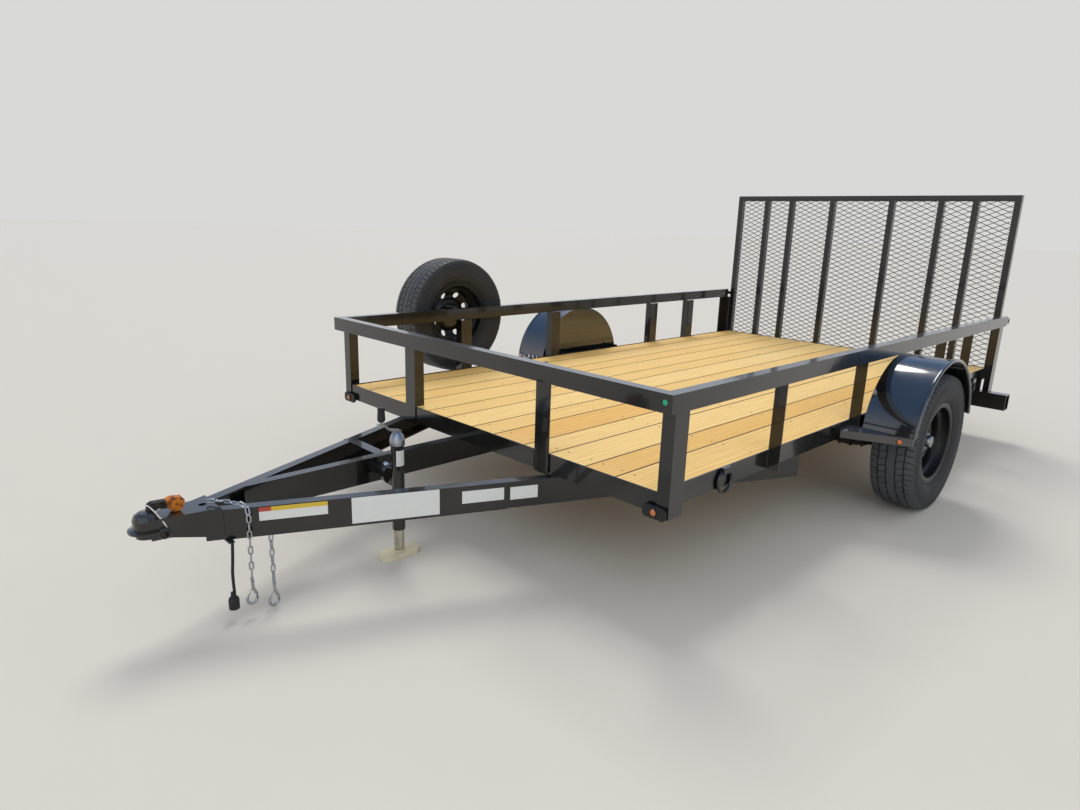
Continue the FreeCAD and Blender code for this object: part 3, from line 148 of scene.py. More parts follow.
def pine(name):
    """Fresh treated boards: each its own tone, grain along their length, darker knots, and painted shade along the
    seams.
    """
    made, tree, shader, place = surface(name)
    split = add(tree, "SeparateXYZ", place)
    x, y = split.outputs["X"], split.outputs["Y"]
    # Which board a point is on, counted from the left edge, and how far across its pair
    across = add(tree, "Math", DECK_HALF * MM, x, operation="SUBTRACT")
    across = add(tree, "Math", across, BOARD_PAIR * MM, operation="DIVIDE")
    pair = add(tree, "Math", across, operation="FLOOR")
    inside = add(tree, "Math", across, pair, operation="SUBTRACT")
    narrow = add(tree, "Math", inside, (BOARD_BROAD + BOARD_GAP / 2) / BOARD_PAIR, operation="GREATER_THAN")
    number = add(tree, "Math", add(tree, "Math", pair, 2.0, operation="MULTIPLY"), narrow, operation="ADD")
    tone = add(tree, "TexWhiteNoise", W=number, noise_dimensions="1D").outputs["Value"]
    light = add(tree, "Mix", tone, colour("#ecc06c"), colour("#fbe09a"), data_type="RGBA")
    # Grain: broad rings and fine streaks, drawn out along the board. Real growth rings, 2 to 6 mm, would be too fine
    # to show in the render, so they are drawn some 18 mm apart
    moved_on = add(tree, "CombineXYZ", x, y, add(tree, "Math", number, 0.37, operation="MULTIPLY"))
    warp = add(tree, "Math", mottle(tree, moved_on, 420, 2, (1, 0.16, 1)), 0.09, operation="MULTIPLY")
    ring_place = add(tree, "CombineXYZ", add(tree, "Math", x, warp, operation="ADD"),
                     add(tree, "Math", y, 0.02, operation="MULTIPLY"),
                     add(tree, "Math", number, 0.51, operation="MULTIPLY"))
    rings = add(tree, "TexWave", Vector=ring_place, Scale=17.0, Distortion=5.0, Detail=3.0, Detail_Scale=1.6,
                bands_direction="X").outputs["Fac"]
    fine = mottle(tree, moved_on, 5, 4, (1, 0.02, 1))
    ring_share = add(tree, "MapRange", rings, 0.1, 0.9, 0.0, 0.4)
    grain = add(tree, "Mix", ring_share, light, colour("#d59b48"), data_type="RGBA")
    fine_share = add(tree, "MapRange", fine, 0.45, 0.75, 0.0, 0.35)
    streak = add(tree, "Mix", fine_share, grain, colour("#b98440"), data_type="RGBA")
    knot_place = add(tree, "Mapping", Vector=moved_on, Scale=(1.0, 0.45, 1.0))
    cells = add(tree, "TexVoronoi", Vector=knot_place, Scale=3.1, Randomness=1.0).outputs["Distance"]
    knot = add(tree, "Math", add(tree, "MapRange", cells, 0.018, 0.05, 1.0, 0.0), 0.75, operation="MULTIPLY")
    knotted = add(tree, "Mix", knot, streak, colour("#7a4a1e"), data_type="RGBA")
    patch = add(tree, "MapRange", mottle(tree, place, 500, 4, (1, 0.5, 1)), 0.55, 0.8, 0.0, 0.35)
    worn = add(tree, "Mix", patch, knotted, colour("#d8c59b"), data_type="RGBA")
    # Painted shade of the gaps between boards: dark within a few millimetres of the middle of the nearest gap
    offset = add(tree, "Math", inside, BOARD_PAIR * MM, operation="MULTIPLY")
    seam = add(tree, "Math", offset, BOARD_GAP / 2 * MM, operation="ADD")
    for middle in (BOARD_BROAD + BOARD_GAP / 2, BOARD_PAIR - BOARD_GAP / 2):
        away = add(tree, "Math", offset, middle * MM, operation="SUBTRACT")
        seam = add(tree, "Math", seam, add(tree, "Math", away, operation="ABSOLUTE"), operation="MINIMUM")
    dark = add(tree, "MapRange", seam, 3.0 * MM, 5.4 * MM, 1.0, 0.0)
    dark = add(tree, "Math", dark, 0.95, operation="MULTIPLY")
    relief = add(tree, "Math", fine, add(tree, "Math", rings, 0.5, operation="MULTIPLY"), operation="ADD")
    feed_named(tree, shader, {
        "Base_Color": add(tree, "Mix", dark, worn, colour("#4d371c"), data_type="RGBA"),
        "Roughness": add(tree, "MapRange", fine, 0.3, 0.8, 0.55, 0.78),
        "Normal": add(tree, "Bump", Height=relief, Strength=0.35, Distance=0.7 * MM),
        "Specular_IOR_Level": 0.3})
    return made


def rubber(name, base, dust):
    """Tyre rubber, greyer where dust lies."""
    made, tree, shader, place = surface(name)
    dusty = add(tree, "MapRange", mottle(tree, place, 90, 5), 0.4, 0.75, 0.0, 0.55)
    feed_named(tree, shader, {
        "Base_Color": add(tree, "Mix", dusty, colour(base), colour(dust), data_type="RGBA"),
        "Roughness": add(tree, "MapRange", dusty, 0.0, 0.5, 0.6, 0.85),
        "Normal": add(tree, "Bump", Height=mottle(tree, place, 3, 3), Strength=0.2, Distance=0.3 * MM),
        "Specular_IOR_Level": 0.4})
    return made


def rusted(name, base, rust):
    """Bare steel that rust has eaten in spots."""
    made, tree, shader, place = surface(name)
    eaten = add(tree, "MapRange", mottle(tree, place, 26, 6), 0.42, 0.6, 0.0, 1.0)
    feed_named(tree, shader, {
        "Base_Color": add(tree, "Mix", eaten, colour(base), colour(rust), data_type="RGBA"),
        "Roughness": add(tree, "MapRange", eaten, 0.0, 1.0, 0.42, 0.9),
        "Metallic": add(tree, "MapRange", eaten, 0.0, 1.0, 0.8, 0.0),
        "Normal": add(tree, "Bump", Height=mottle(tree, place, 3, 4), Strength=0.4, Distance=0.4 * MM)})
    return made


def two_tone(made, axis, border, width, base, spots, rough, metal):
    """A mottled finish on the far side of a border across one of the object's axes."""
    tree = made.node_tree
    shader = tree.nodes["Principled BSDF"]
    place = add(tree, "TexCoord").outputs["Object"]
    along = add(tree, "SeparateXYZ", place).outputs[axis]
    share = add(tree, "MapRange", along, border - width, border + width, 0.0, 1.0)
    paint = shader.inputs["Base Color"].links[0].from_socket
    spotted = add(tree, "MapRange", mottle(tree, place, 16, 4), 0.44, 0.62, 0.0, 1.0)
    mottled = add(tree, "Mix", spotted, colour(base), colour(spots), data_type="RGBA")
    feed(tree, shader.inputs["Base Color"], add(tree, "Mix", share, paint, mottled, data_type="RGBA"))
    for key, number in (("Roughness", rough), ("Metallic", metal)):
        socket = shader.inputs[key]
        was = socket.links[0].from_socket if socket.links else socket.default_value
        feed(tree, socket, add(tree, "Mix", share, was, number))
    return made


# The numbers after a colour. enamel: roughness, dust, coat, the coat's IOR. plain: roughness, metallic, the grain's
# size in mm, strength and depth in mm, and how far the tone wavers
M = {
    # Sprayed enamel on steel: deep black, a sharp coat of gloss, and grey dust on what faces up
    "black": enamel("black_enamel", "#0c0d0f", 0.2, 0.5),
    "arch": enamel("arch_enamel", "#0e1013", 0.2, 0.3, 1.0, 1.85),
    # The gate's paint is rougher, and the wheels' has a thin coat or none, so they shine less
    "gate": enamel("gate_paint", "#101114", 0.36, 0.35),
    "wheel": enamel("wheel_paint", "#0d0e10", 0.3, 0.35, 0.2),
    "rim": enamel("rim_paint", "#0d0e10", 0.3, 0.3, 0.0),
    # Sawn treated pine: pale yellow, matt, with darker grain
    "pine": pine("deck_pine"),
    # Moulded rubber: dark grey and matt, paler on the tread: partly road dust, partly painted light that brightens
    # the tread where the lamps reach it little
    "tyre": rubber("tyre_rubber", "#26272a", "#454543"),
    "tread": rubber("tread_rubber", "#4c4e52", "#626160"),
    # Zinc plate with a yellow wash: pale and half matt. The jack's inner tube is bright above its foot
    "zinc": two_tone(plain("zinc_plate", "#e9e2c4", 0.45, 0.25, 5, 0.1, 0.2, 0.08),
                     "Z", 24 * MM, 1.5 * MM, "#c9c6b6", "#b5b19c", 0.22, 0.9),
    # Bare stamped steel, brown and dull where it rusts. The coupler's latch is redder at its rear end
    "rust": two_tone(rusted("rusted_steel", "#1c1b1a", "#3a2c20"),
                     "Y", -2.366, 0.002, "#c9781d", "#6b3414", 0.75, 0.1),
    # Galvanised chain, spring steel under scale, turned hubs, chromed nuts, plated screws: smoother ones glint more
    "chain": plain("chain_zinc", "#b9bbbd", 0.3, 0.9, 3, 0.1, 0.2, 0.2),
    "steel": plain("spring_steel", "#3a3835", 0.5, 0.6, 8, 0.2, 0.4, 0.2),
    "hub": plain("hub_steel", "#a9acb0", 0.3, 0.95, 6, 0.1, 0.2, 0.15),
    "nut": plain("lug_nut_chrome", "#c9ccd0", 0.22, 1.0, 4, 0.05, 0.1, 0.08),
    "screw": plain("deck_screw", "#8c7a52", 0.45, 0.8, 2, 0.1, 0.1, 0.1),
    # Moulded acrylic lenses: clear colour under a glassy skin, which lets some light in
    "amber": plain("amber_lens", "#e87a12", 0.16, 0.0, 3, 0.05, 0.1, 0.08, Coat_Weight=1.0, Transmission_Weight=0.25),
    "red": plain("red_lens", "#a30d0d", 0.16, 0.0, 3, 0.05, 0.1, 0.08, Coat_Weight=1.0, Transmission_Weight=0.2),
    # Moulded polypropylene and PVC sheath: black with a soft, broad shine
    "plastic": plain("black_plastic", "#131314", 0.5, 0.0, 2, 0.2, 0.2, 0.1),
    "cable": plain("cable_sheath", "#121213", 0.55, 0.0, 2, 0.15, 0.15, 0.1),
    # Printed vinyl labels: flat, even colour with a dull shine
    "label": plain("label_white", "#dfe2e2", 0.4, 0.0, 4, 0.05, 0.1, 0.04),
    "yellow_band": plain("label_yellow", "#d9b93a", 0.4, 0.0, 4, 0.05, 0.1, 0.04),
    "red_band": plain("label_red", "#b4473a", 0.4, 0.0, 4, 0.05, 0.1, 0.04),
    "teal": plain("label_teal", "#1fae8b", 0.4, 0.0, 4, 0.05, 0.1, 0.04),
}

# Nodes by the start of their names. A later row overrides an earlier one, as for the coupler's latch
DRESS = {
    "black": "frame_ top_rail front_posts side_posts crossmembers tongue_ coupler jack_mount jack_tube "
             "spare_mount gate_lugs rear_light_bar axle tie_down",
    "arch": "fender",
    "gate": "gate_frame gate_mesh gate_fittings",
    "wheel": "wheel_ spare_wheel",
    "pine": "deck_boards",
    "tyre": "tyre_ spare_tyre",
    "zinc": "jack_leg",
    "chain": "chain_ jack_crank",
    "steel": "leaf_spring spring_gear",
    "hub": "hub_",
    "rust": "coupler_latch",
    "amber": "marker_lamps",
    "red": "tail_lamps",
    "plastic": "marker_bases jack_grip wiring_plug cable_clip",
    "cable": "wiring_cable",
}


def dress(obj, made):
    """Give an object one material in all its slots."""
    if not obj.material_slots:
        obj.data.materials.append(made)
    for slot in obj.material_slots:
        slot.material = made


for key, words in DRESS.items():
    for word in words.split():
        for name, obj in NODES.items():
            if name.startswith(word):
                dress(obj, M[key])

# Camera: fitted to the photograph's straight edges
EYE = at(2303.6, -1821.3, 1300.7)
YAW, PITCH, ROLL = (math.radians(angle) for angle in (-45.915, -14.328, 1.746))
ahead = Vector((math.sin(YAW) * math.cos(PITCH), math.cos(YAW) * math.cos(PITCH), math.sin(PITCH)))
right = Vector((math.cos(YAW), -math.sin(YAW), 0))
upward = right.cross(ahead)
turned_right = math.cos(ROLL) * right + math.sin(ROLL) * upward
turned_up = -math.sin(ROLL) * right + math.cos(ROLL) * upward
camera = bpy.data.objects.new("camera", bpy.data.cameras.new("camera"))
camera.data.sensor_width = 36
camera.data.lens = 23.85
camera.matrix_world = Matrix((turned_right, turned_up, -ahead)).transposed().to_4x4()
camera.matrix_world.translation = EYE
bpy.context.scene.collection.objects.link(camera)
bpy.context.scene.camera = camera


def sun(name, towards, power, spread, tint):
    """Even light from far away, softened by its spread in degrees."""
    light = bpy.data.lights.new(name, "SUN")
    light.energy = power
    light.angle = math.radians(spread)
    light.color = colour(tint)[:3]
    made = bpy.data.objects.new(name, light)
    made.rotation_euler = Vector(towards).to_track_quat("-Z", "Y").to_euler()
    bpy.context.scene.collection.objects.link(made)


# The key light comes over the trailer's far rear corner, as the sun does in the photograph
sun("key_light", (0.55, -0.42, -0.9), 1.5, 24, "#fff6ea")
sun("front_light", (-0.7, 0.75, -0.55), 0.5, 60, "#f4f8ff")

# World: plain grey light and background, and a blue sky that only reflections show
world = bpy.data.worlds.new("studio")
bpy.context.scene.world = world
world.use_nodes = True
sky = world.node_tree
for old in list(sky.nodes):
    sky.nodes.remove(old)
rays = add(sky, "LightPath").outputs
height = add(sky, "SeparateXYZ", add(sky, "TexCoord").outputs["Generated"]).outputs["Z"]
rise = add(sky, "MapRange", height, 0.0, 0.6, 0.0, 1.0)
dome = add(sky, "Mix", rise, colour("#f2f2f0"), colour("#7fa3d6"), data_type="RGBA")
lit = add(sky, "Mix", rays["Is Glossy Ray"], colour("#d3d3d2"), dome, data_type="RGBA")
shown = add(sky, "Mix", rays["Is Camera Ray"], lit, colour("#d9d9d7"), data_type="RGBA")
add(sky, "OutputWorld", Surface=add(sky, "Background", Color=shown, Strength=1.0))

FLOOR_HALF = 90  # metres
floor_mesh = bpy.data.meshes.new("floor")
floor_mesh.from_pydata([(x * FLOOR_HALF, y * FLOOR_HALF, 0) for x, y in ((-1, -1), (1, -1), (1, 1), (-1, 1))],
                       [], [(0, 1, 2, 3)])
floor = bpy.data.objects.new("floor", floor_mesh)
bpy.context.scene.collection.objects.link(floor)
floor.data.materials.append(plain("floor_paint", "#d2d1ce", 0.8, 0.0, 60, 0.05, 0.5, 0.02, Specular_IOR_Level=0.2))

bpy.context.scene.view_settings.view_transform = "Standard"


# Shapes made here
def shape(name, points, faces, made, body="chassis", smooth=False, sharp=None, outward=True):
    """A mesh object from points in metres, its faces turned outward, riding on a body."""
    mesh = bpy.data.meshes.new(name)
    mesh.from_pydata([tuple(p) for p in points], [], faces)
    mesh.validate()
    if outward:
        turned = bmesh.new()
        turned.from_mesh(mesh)
        bmesh.ops.recalc_face_normals(turned, faces=turned.faces)
        turned.to_mesh(mesh)
        turned.free()
    mesh.update()
    if smooth or sharp:
        mesh.polygons.foreach_set("use_smooth", [True] * len(mesh.polygons))
    if sharp:
        mesh.set_sharp_from_angle(angle=math.radians(sharp))
    mesh.materials.append(made)
    obj = bpy.data.objects.new(name, mesh)
    bpy.context.scene.collection.objects.link(obj)
    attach(obj, body)
    return obj


def moved(points, placed):
    """Points taken to their place."""
    return [placed @ Vector(p) for p in points]


class Pile:
    """Points and faces gathered for one joined mesh."""

    def __init__(self):
        self.points = []
        self.faces = []

    def put(self, points, faces, placed=Matrix.Identity(4)):
        """Add a shape, taken to its place."""
        first = len(self.points)
        self.points.extend(moved(points, placed))
        self.faces.extend(tuple(first + i for i in face) for face in faces)


def rings_to_faces(rings, sides, wrap_rings, wrap_sides=True):
    """Quads between rings of points, each ring joined to the next."""
    faces = []
    for i in range(rings if wrap_rings else rings - 1):
        n = (i + 1) % rings
        for j in range(sides if wrap_sides else sides - 1):
            k = (j + 1) % sides
            faces.append((i * sides + j, i * sides + k, n * sides + k, n * sides + j))
    return faces


def round_axis(x, radius, ray):
    """A point at an angle round the X axis, in metres from millimetres."""
    return x * MM, radius * math.sin(ray) * MM, radius * math.cos(ray) * MM


def lathe(profile, steps, closed=True, sweep=2 * math.pi, start=0.0):
    """A profile of (along X, radius) in millimetres taken round the X axis."""
    whole = sweep == 2 * math.pi
    rings = steps if whole else steps + 1
    points = []
    for i in range(rings):
        ray = start + sweep * i / steps
        points.extend(round_axis(x, r, ray) for x, r in profile)
    return points, rings_to_faces(rings, len(profile), whole, closed)


def tube_along(route, radius, sides=8, closed=False):
    """A round bar along points in metres, its radius in millimetres."""
    points = []
    count = len(route)
    up = Vector((0, 0, 1))
    for i, spot in enumerate(route):
        before = route[i - 1] if (i or closed) else spot
        after = route[(i + 1) % count] if (i < count - 1 or closed) else spot
        along = (Vector(after) - Vector(before)).normalized()
        side = along.cross(up)
        side = side.normalized() if side.length > 1e-3 else Vector((1, 0, 0))
        rise = side.cross(along)
        for j in range(sides):
            ray = 2 * math.pi * j / sides
            points.append(Vector(spot) + (side * math.cos(ray) + rise * math.sin(ray)) * radius * MM)
    faces = rings_to_faces(count, sides, closed)
    if not closed:
        faces.append(tuple(range(sides))[::-1])
        faces.append(tuple(range((count - 1) * sides, count * sides)))
    return points, faces


def facing(spot, way):
    """A place in the drawing, with the X axis turned to face a way."""
    turn = Vector((1, 0, 0)).rotation_difference(Vector(way)).to_matrix().to_4x4()
    return Matrix.Translation(at(*spot)) @ turn


def button(name, spot, way, profile, made, body="chassis", sides=24):
    """A small round thing on a face, from its profile out of that face."""
    points, faces = lathe(profile, sides)
    return shape(name, moved(points, facing(spot, way)), faces, made, body, sharp=40)


def sheet(name, corners, made, way):
    """A flat label or cap half a millimetre thick, from its corners in order and the way it faces."""
    low = [at(*c) for c in corners]
    out = Vector(way).normalized() * 0.5 * MM
    base = [p + out * 0.2 for p in low]
    top = [p + out for p in low]
    faces = [(4, 5, 6, 7), (0, 1, 5, 4), (1, 2, 6, 5), (2, 3, 7, 6), (3, 0, 4, 7), (3, 2, 1, 0)]
    shape(name, base + top, faces, made)


def mirrored(profile):
    """The other half of a profile that is the same to both sides."""
    return [(-x, r) for x, r in reversed(profile)]


# Tyres: the carcass is turned, with its rings, and five ribs over it are cut into blocks
SIDEWALL = [(-76.3, 178.4), (-78.3, 197.6), (-84, 203), (-89, 210), (-93.5, 218), (-96, 226), (-98.6, 234),
            (-99.4, 235), (-100.6, 247), (-101.5, 259), (-101.4, 272), (-102.3, 273), (-101.9, 279), (-100.6, 280),
            (-99.4, 292), (-97.2, 304), (-95.4, 309), (-96.4, 312), (-92.0, 321), (-83, 322.6), (-40, 324)]
LINING = [(60, 178.4), (84, 240), (76, 310)]
CARCASS = SIDEWALL + mirrored(SIDEWALL) + LINING + mirrored(LINING)
ROUND_STEPS = 120
# A rib's two edges, the crown's drop at each, its blocks round the tyre, the share of a pitch that is block, and how
# far the cuts between blocks run forward over RIB_WIDE
Rib = namedtuple("Rib", "inner outer drop_in drop_out blocks solid_share slant")
RIBS = [
    Rib(-96.0, -61.0, 9.5, 0.8, 68, 0.86, -6.4),
    Rib(-54.0, -23.5, 0.5, 0.1, 60, 0.89, 12.0),
    Rib(-17.0, 17.0, 0.0, 0.0, 60, 0.985, 0.0),
    Rib(23.5, 54.0, 0.1, 0.5, 60, 0.89, 12.0),
    Rib(61.0, 96.0, 0.8, 9.5, 68, 0.86, -6.4),
]
RIB_WIDE = 34
TREAD_BASE_R = 320.5
BLOCK_ALONG, BLOCK_ACROSS = 4, 4  # quads in a block's top
ZIGZAG, ZIGZAG_REACH = 1.3, 60  # of the edges that lie less than 60 from the tyre's middle
# Bars round the shoulders: (radius, distance from the tyre's middle) at each end
BARS, BAR_HALF_TURN, BAR_PROUD = 136, 0.009, 1.7
BAR_ENDS = ((306, 97.0), (318, 94.6))
BAR_FACES = [(1, 3, 7, 5), (0, 1, 5, 4), (2, 3, 7, 6), (0, 1, 3, 2), (4, 5, 7, 6), (0, 2, 6, 4)]


def crown_radius(rib, share):
    """The tread's radius across a rib: inner ribs drop a little at their edges, those on the shoulders fall away."""
    if abs(rib.drop_in - rib.drop_out) < 2:
        curve = abs(2 * share - 1) ** 1.6
    else:
        curve = (share if rib.drop_out > rib.drop_in else 1 - share) ** 0.8
    return TYRE_R - (rib.drop_in + (rib.drop_out - rib.drop_in) * share) * curve


def tread_block(rib, number):
    """One block of a rib. Its points go top, base in turn across it, row after row along it."""
    points = []
    for m in range(BLOCK_ALONG + 1):
        ray = (number + rib.solid_share * m / BLOCK_ALONG) * (2 * math.pi / rib.blocks)
        zig = ZIGZAG * math.sin(math.pi * (number + m / BLOCK_ALONG))
        for j in range(BLOCK_ACROSS + 1):
            share = j / BLOCK_ACROSS
            across = rib.inner + (rib.outer - rib.inner) * share
            lean = rib.slant * (across - (rib.inner + rib.outer) / 2) / RIB_WIDE / TYRE_R
            x = across + (zig if share in (0, 1) and abs(across) < ZIGZAG_REACH else 0)
            for r in (crown_radius(rib, share), TREAD_BASE_R):
                points.append(round_axis(x, r, ray + lean))
    row = 2 * (BLOCK_ACROSS + 1)
    faces = []
    for m in range(BLOCK_ALONG):
        for j in range(BLOCK_ACROSS):
            a = m * row + j * 2
            faces.append((a, a + 2, a + 2 + row, a + row))
            faces.append((a + 1, a + 3, a + 3 + row, a + 1 + row))
        for j in (0, BLOCK_ACROSS):
            a = m * row + j * 2
            faces.append((a, a + 1, a + 1 + row, a + row))
    for m in (0, BLOCK_ALONG):
        for j in range(BLOCK_ACROSS):
            a = m * row + j * 2
            faces.append((a, a + 1, a + 3, a + 2))
    return points, faces


def tyre(name, placed, body, node_name):
    """A carcass and its tread in place of the part's tyre."""
    points, faces = lathe(CARCASS, ROUND_STEPS)
    carcass = shape("tyre_" + name, moved(points, placed), faces, M["tyre"], body, sharp=34)
    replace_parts(carcass, node_name)
    pile = Pile()
    for rib in RIBS:
        for number in range(rib.blocks):
            pile.put(*tread_block(rib, number), placed)
    for side in (-1, 1):
        for i in range(BARS):
            ray = 2 * math.pi * i / BARS
            bar = [round_axis(side * (x + out), r, ray + turn) for r, x in BAR_ENDS
                   for turn in (-BAR_HALF_TURN, BAR_HALF_TURN) for out in (0.0, BAR_PROUD)]
            pile.put(bar, BAR_FACES, placed)
    tread = shape("tread_" + name, pile.points, pile.faces, M["tread"], body, sharp=34)
    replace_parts(tread, node_name)


# Steel wheel: the rim is turned, and the disc is eight sectors, each with a round hole, between two turned rings
FLANGE = [(83, 198), (80, 199.5), (77.5, 198), (76.5, 190), (76, 179), (70, 177.5), (44, 176), (38, 173), (31, 155),
          (27, 152)]
RIM_INSIDE = [(-83.5, 193), (-82, 178), (-79, 173.5), (-72, 172), (-46, 170.5), (-42, 168), (-35, 150), (-29, 147.4)]
RIM = FLANGE + mirrored(FLANGE) + RIM_INSIDE + mirrored(RIM_INSIDE)
# The disc's dish, as (radius, along the axle)
DISH = [(42, 3.0), (46, 4.6), (60, 5.0), (79, 5.0), (85, 8.0), (98, 16.0), (106, 19.0), (112, 17.5), (130, 5.5),
        (141, -1.8), (147.6, -3.0)]
DISC_IN, DISC_OUT = 42, 147.6
SECTOR_IN, SECTOR_OUT = 88, 144
SECTORS, SECTOR_SIDE, SECTOR_LEVELS = 8, 8, 5
HOLE_AT, HOLE_R = 121, 17.0
DISC_THICK = 4.6


def dish(radius):
    """How far out along the axle the disc stands at a radius."""
    for (r1, x1), (r2, x2) in zip(DISH, DISH[1:]):
        if radius <= r2:
            return x1 + (x2 - x1) * (radius - r1) / (r2 - r1)
    return DISH[-1][1]


def sector(middle):
    """One eighth of the disc: levels of points from its round hole out to its outline, as (y, z)."""
    turn = 2 * math.pi / SECTORS
    deep = SECTOR_OUT - SECTOR_IN
    steps = [i / SECTOR_SIDE for i in range(SECTOR_SIDE)]
    outline = [(SECTOR_IN, middle - turn / 2 + turn * step) for step in steps]
    outline += [(SECTOR_IN + deep * step, middle + turn / 2) for step in steps]
    outline += [(SECTOR_OUT, middle + turn / 2 - turn * step) for step in steps]
    outline += [(SECTOR_OUT - deep * step, middle - turn / 2) for step in steps]
    hole_y, hole_z = HOLE_AT * math.sin(middle), HOLE_AT * math.cos(middle)
    spots = []
    for level in range(SECTOR_LEVELS + 1):
        share = (level / SECTOR_LEVELS) ** 1.3
        for r, ray in outline:
            y, z = r * math.sin(ray), r * math.cos(ray)
            far = math.hypot(y - hole_y, z - hole_z)
            edge_y = hole_y + (y - hole_y) / far * HOLE_R
            edge_z = hole_z + (z - hole_z) / far * HOLE_R
            spots.append((edge_y + (y - edge_y) * share, edge_z + (z - edge_z) * share))
    return spots, rings_to_faces(SECTOR_LEVELS + 1, len(outline), False)


def disc_web():
    """The whole disc as one sheet."""
    pile = Pile()
    for number in range(SECTORS):
        spots, faces = sector(math.pi / SECTORS + number * 2 * math.pi / SECTORS)
        pile.put([(dish(math.hypot(y, z)) * MM, y * MM, z * MM) for y, z in spots], faces)
    for low, high, rows in ((DISC_IN, SECTOR_IN, 10), (SECTOR_OUT, DISC_OUT, 1)):
        radii = [low + (high - low) * i / rows for i in range(rows + 1)]
        pile.put(*lathe([(dish(r), r) for r in radii], SECTORS * SECTOR_SIDE, closed=False))
    return pile


def wheel(name, placed, body, node_name):
    """A rim and its disc in place of the part's wheel."""
    points, faces = lathe(RIM, ROUND_STEPS)
    rim = shape(name + "_rim", moved(points, placed), faces, M["rim"], body, sharp=38)
    web = disc_web()
    disc = shape(name + "_disc", moved(web.points, placed), web.faces, M["wheel"], body, smooth=True, outward=False)
    weld = disc.modifiers.new("weld", "WELD")
    weld.merge_threshold = 0.02 * MM
    wall = disc.modifiers.new("wall", "SOLIDIFY")
    wall.thickness = DISC_THICK * MM
    wall.offset = 0
    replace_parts(rim, node_name)
    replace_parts(disc, node_name)


HUB = [(-70, 19.6), (-70, 37), (-68, 38), (-14, 38), (-12, 40), (-12, 72), (-10, 74), (-1, 74), (0, 73), (0, 41),
       (38, 41), (39, 40), (39, 31), (41, 30.5), (55, 29.5), (59.5, 27), (62, 21), (62.6, 10), (62.6, 0.01),
       (50, 0.01), (50, 19.6)]
LUG_NUT = [(0, 9), (2, 11), (15, 11), (18.5, 8.2), (18.5, 0.01), (0, 0.01)]
LUG_STUD = [(17, 6), (21, 6), (22, 5), (22, 0.01), (17, 0.01)]
LUGS, LUG_FIRST, LUG_OUT = 5, 18, 5  # how many, the first one's angle in degrees, and how far out they sit


def hub(name, placed, body, node_name):
    """A hub with its grease cap in place of the part's hub."""
    points, faces = lathe(HUB, 64)
    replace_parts(shape(name, moved(points, placed), faces, M["hub"], body, sharp=35), node_name)


def lug_nuts(name, placed, body):
    """Cone nuts on the disc, each with its stud's end."""
    pile = Pile()
    for i in range(LUGS):
        ray = math.radians(i * 360 / LUGS + LUG_FIRST)
        here = placed @ Matrix.Translation(round_axis(LUG_OUT, STUD_CIRCLE_R, ray))
        pile.put(*lathe(LUG_NUT, 6), here)
        pile.put(*lathe(LUG_STUD, 12), here)
    shape(name, pile.points, pile.faces, M["nut"], body, sharp=30)


TURNED_ROUND = Matrix.Rotation(math.pi, 4, "Z")
for word, placed, body in (
        ("left", Matrix.Translation(at(WHEEL_X, AXLE_Y, TYRE_R)), "wheel_left"),
        ("right", Matrix.Translation(at(-WHEEL_X, AXLE_Y, TYRE_R)) @ TURNED_ROUND, "wheel_right")):
    tyre("made_" + word, placed, body, "tyre_" + word)
    wheel("wheel_made_" + word, placed, body, "wheel_" + word)
    hub("hub_made_" + word, placed, body, "hub_" + word)
    lug_nuts("lug_nuts_" + word, placed, body)
spare_place = Matrix.Translation(at(SPARE_X, SPARE_Y, SPARE_Z)) @ TURNED_ROUND
tyre("made_spare", spare_place, "chassis", "spare_tyre")
wheel("wheel_made_spare", spare_place, "chassis", "spare_wheel")

# The spare's two nuts sit on the disc's near side, on the carrier's studs: washer, nut, stud
pile = Pile()
for along in (-STUD_CIRCLE_R, STUD_CIRCLE_R):
    here = Matrix.Translation(at(SPARE_X + 6, SPARE_Y + along, SPARE_Z))
    pile.put(*lathe([(0, 17), (3, 17), (3, 0.01), (0, 0.01)], 24), here)
    pile.put(*lathe([(3, 12), (15, 12), (15, 0.01), (3, 0.01)], 6), here)
    pile.put(*lathe([(15, 7), (30, 7), (30, 0.01), (15, 0.01)], 12), here)
shape("spare_nuts", pile.points, pile.faces, M["nut"], sharp=30)

# Wheel arches: the same shell as the part's, in a smooth bend with a round lip
ARCH_AT = at(0, 1812, 370)
ARCH_SWEEP = math.radians(161)
ARCH_STEPS = 84
LIP = [(1286.5 + 8.5 * math.cos(math.radians(ray)), 367 + 8 * math.sin(math.radians(ray)))
       for ray in range(520, 199, -20)]
ARCH = [(1059, 369), (1278, 369)] + LIP + [(1278, 366), (1062, 366), (1062, 0.01), (1059, 0.01)]
for word, turn in (("left", 0), ("right", math.pi)):
    placed = Matrix.Translation(ARCH_AT) @ Matrix.Rotation(turn, 4, "Z")
    points, faces = lathe(ARCH, ARCH_STEPS, sweep=ARCH_SWEEP, start=-ARCH_SWEEP / 2)
    ends = [tuple(range(len(ARCH))), tuple(range(ARCH_STEPS * len(ARCH), len(points)))[::-1]]
    arch = shape("arch_made_" + word, moved(points, placed), faces + ends, M["arch"], sharp=35)
    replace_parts(arch, "fender_" + word)

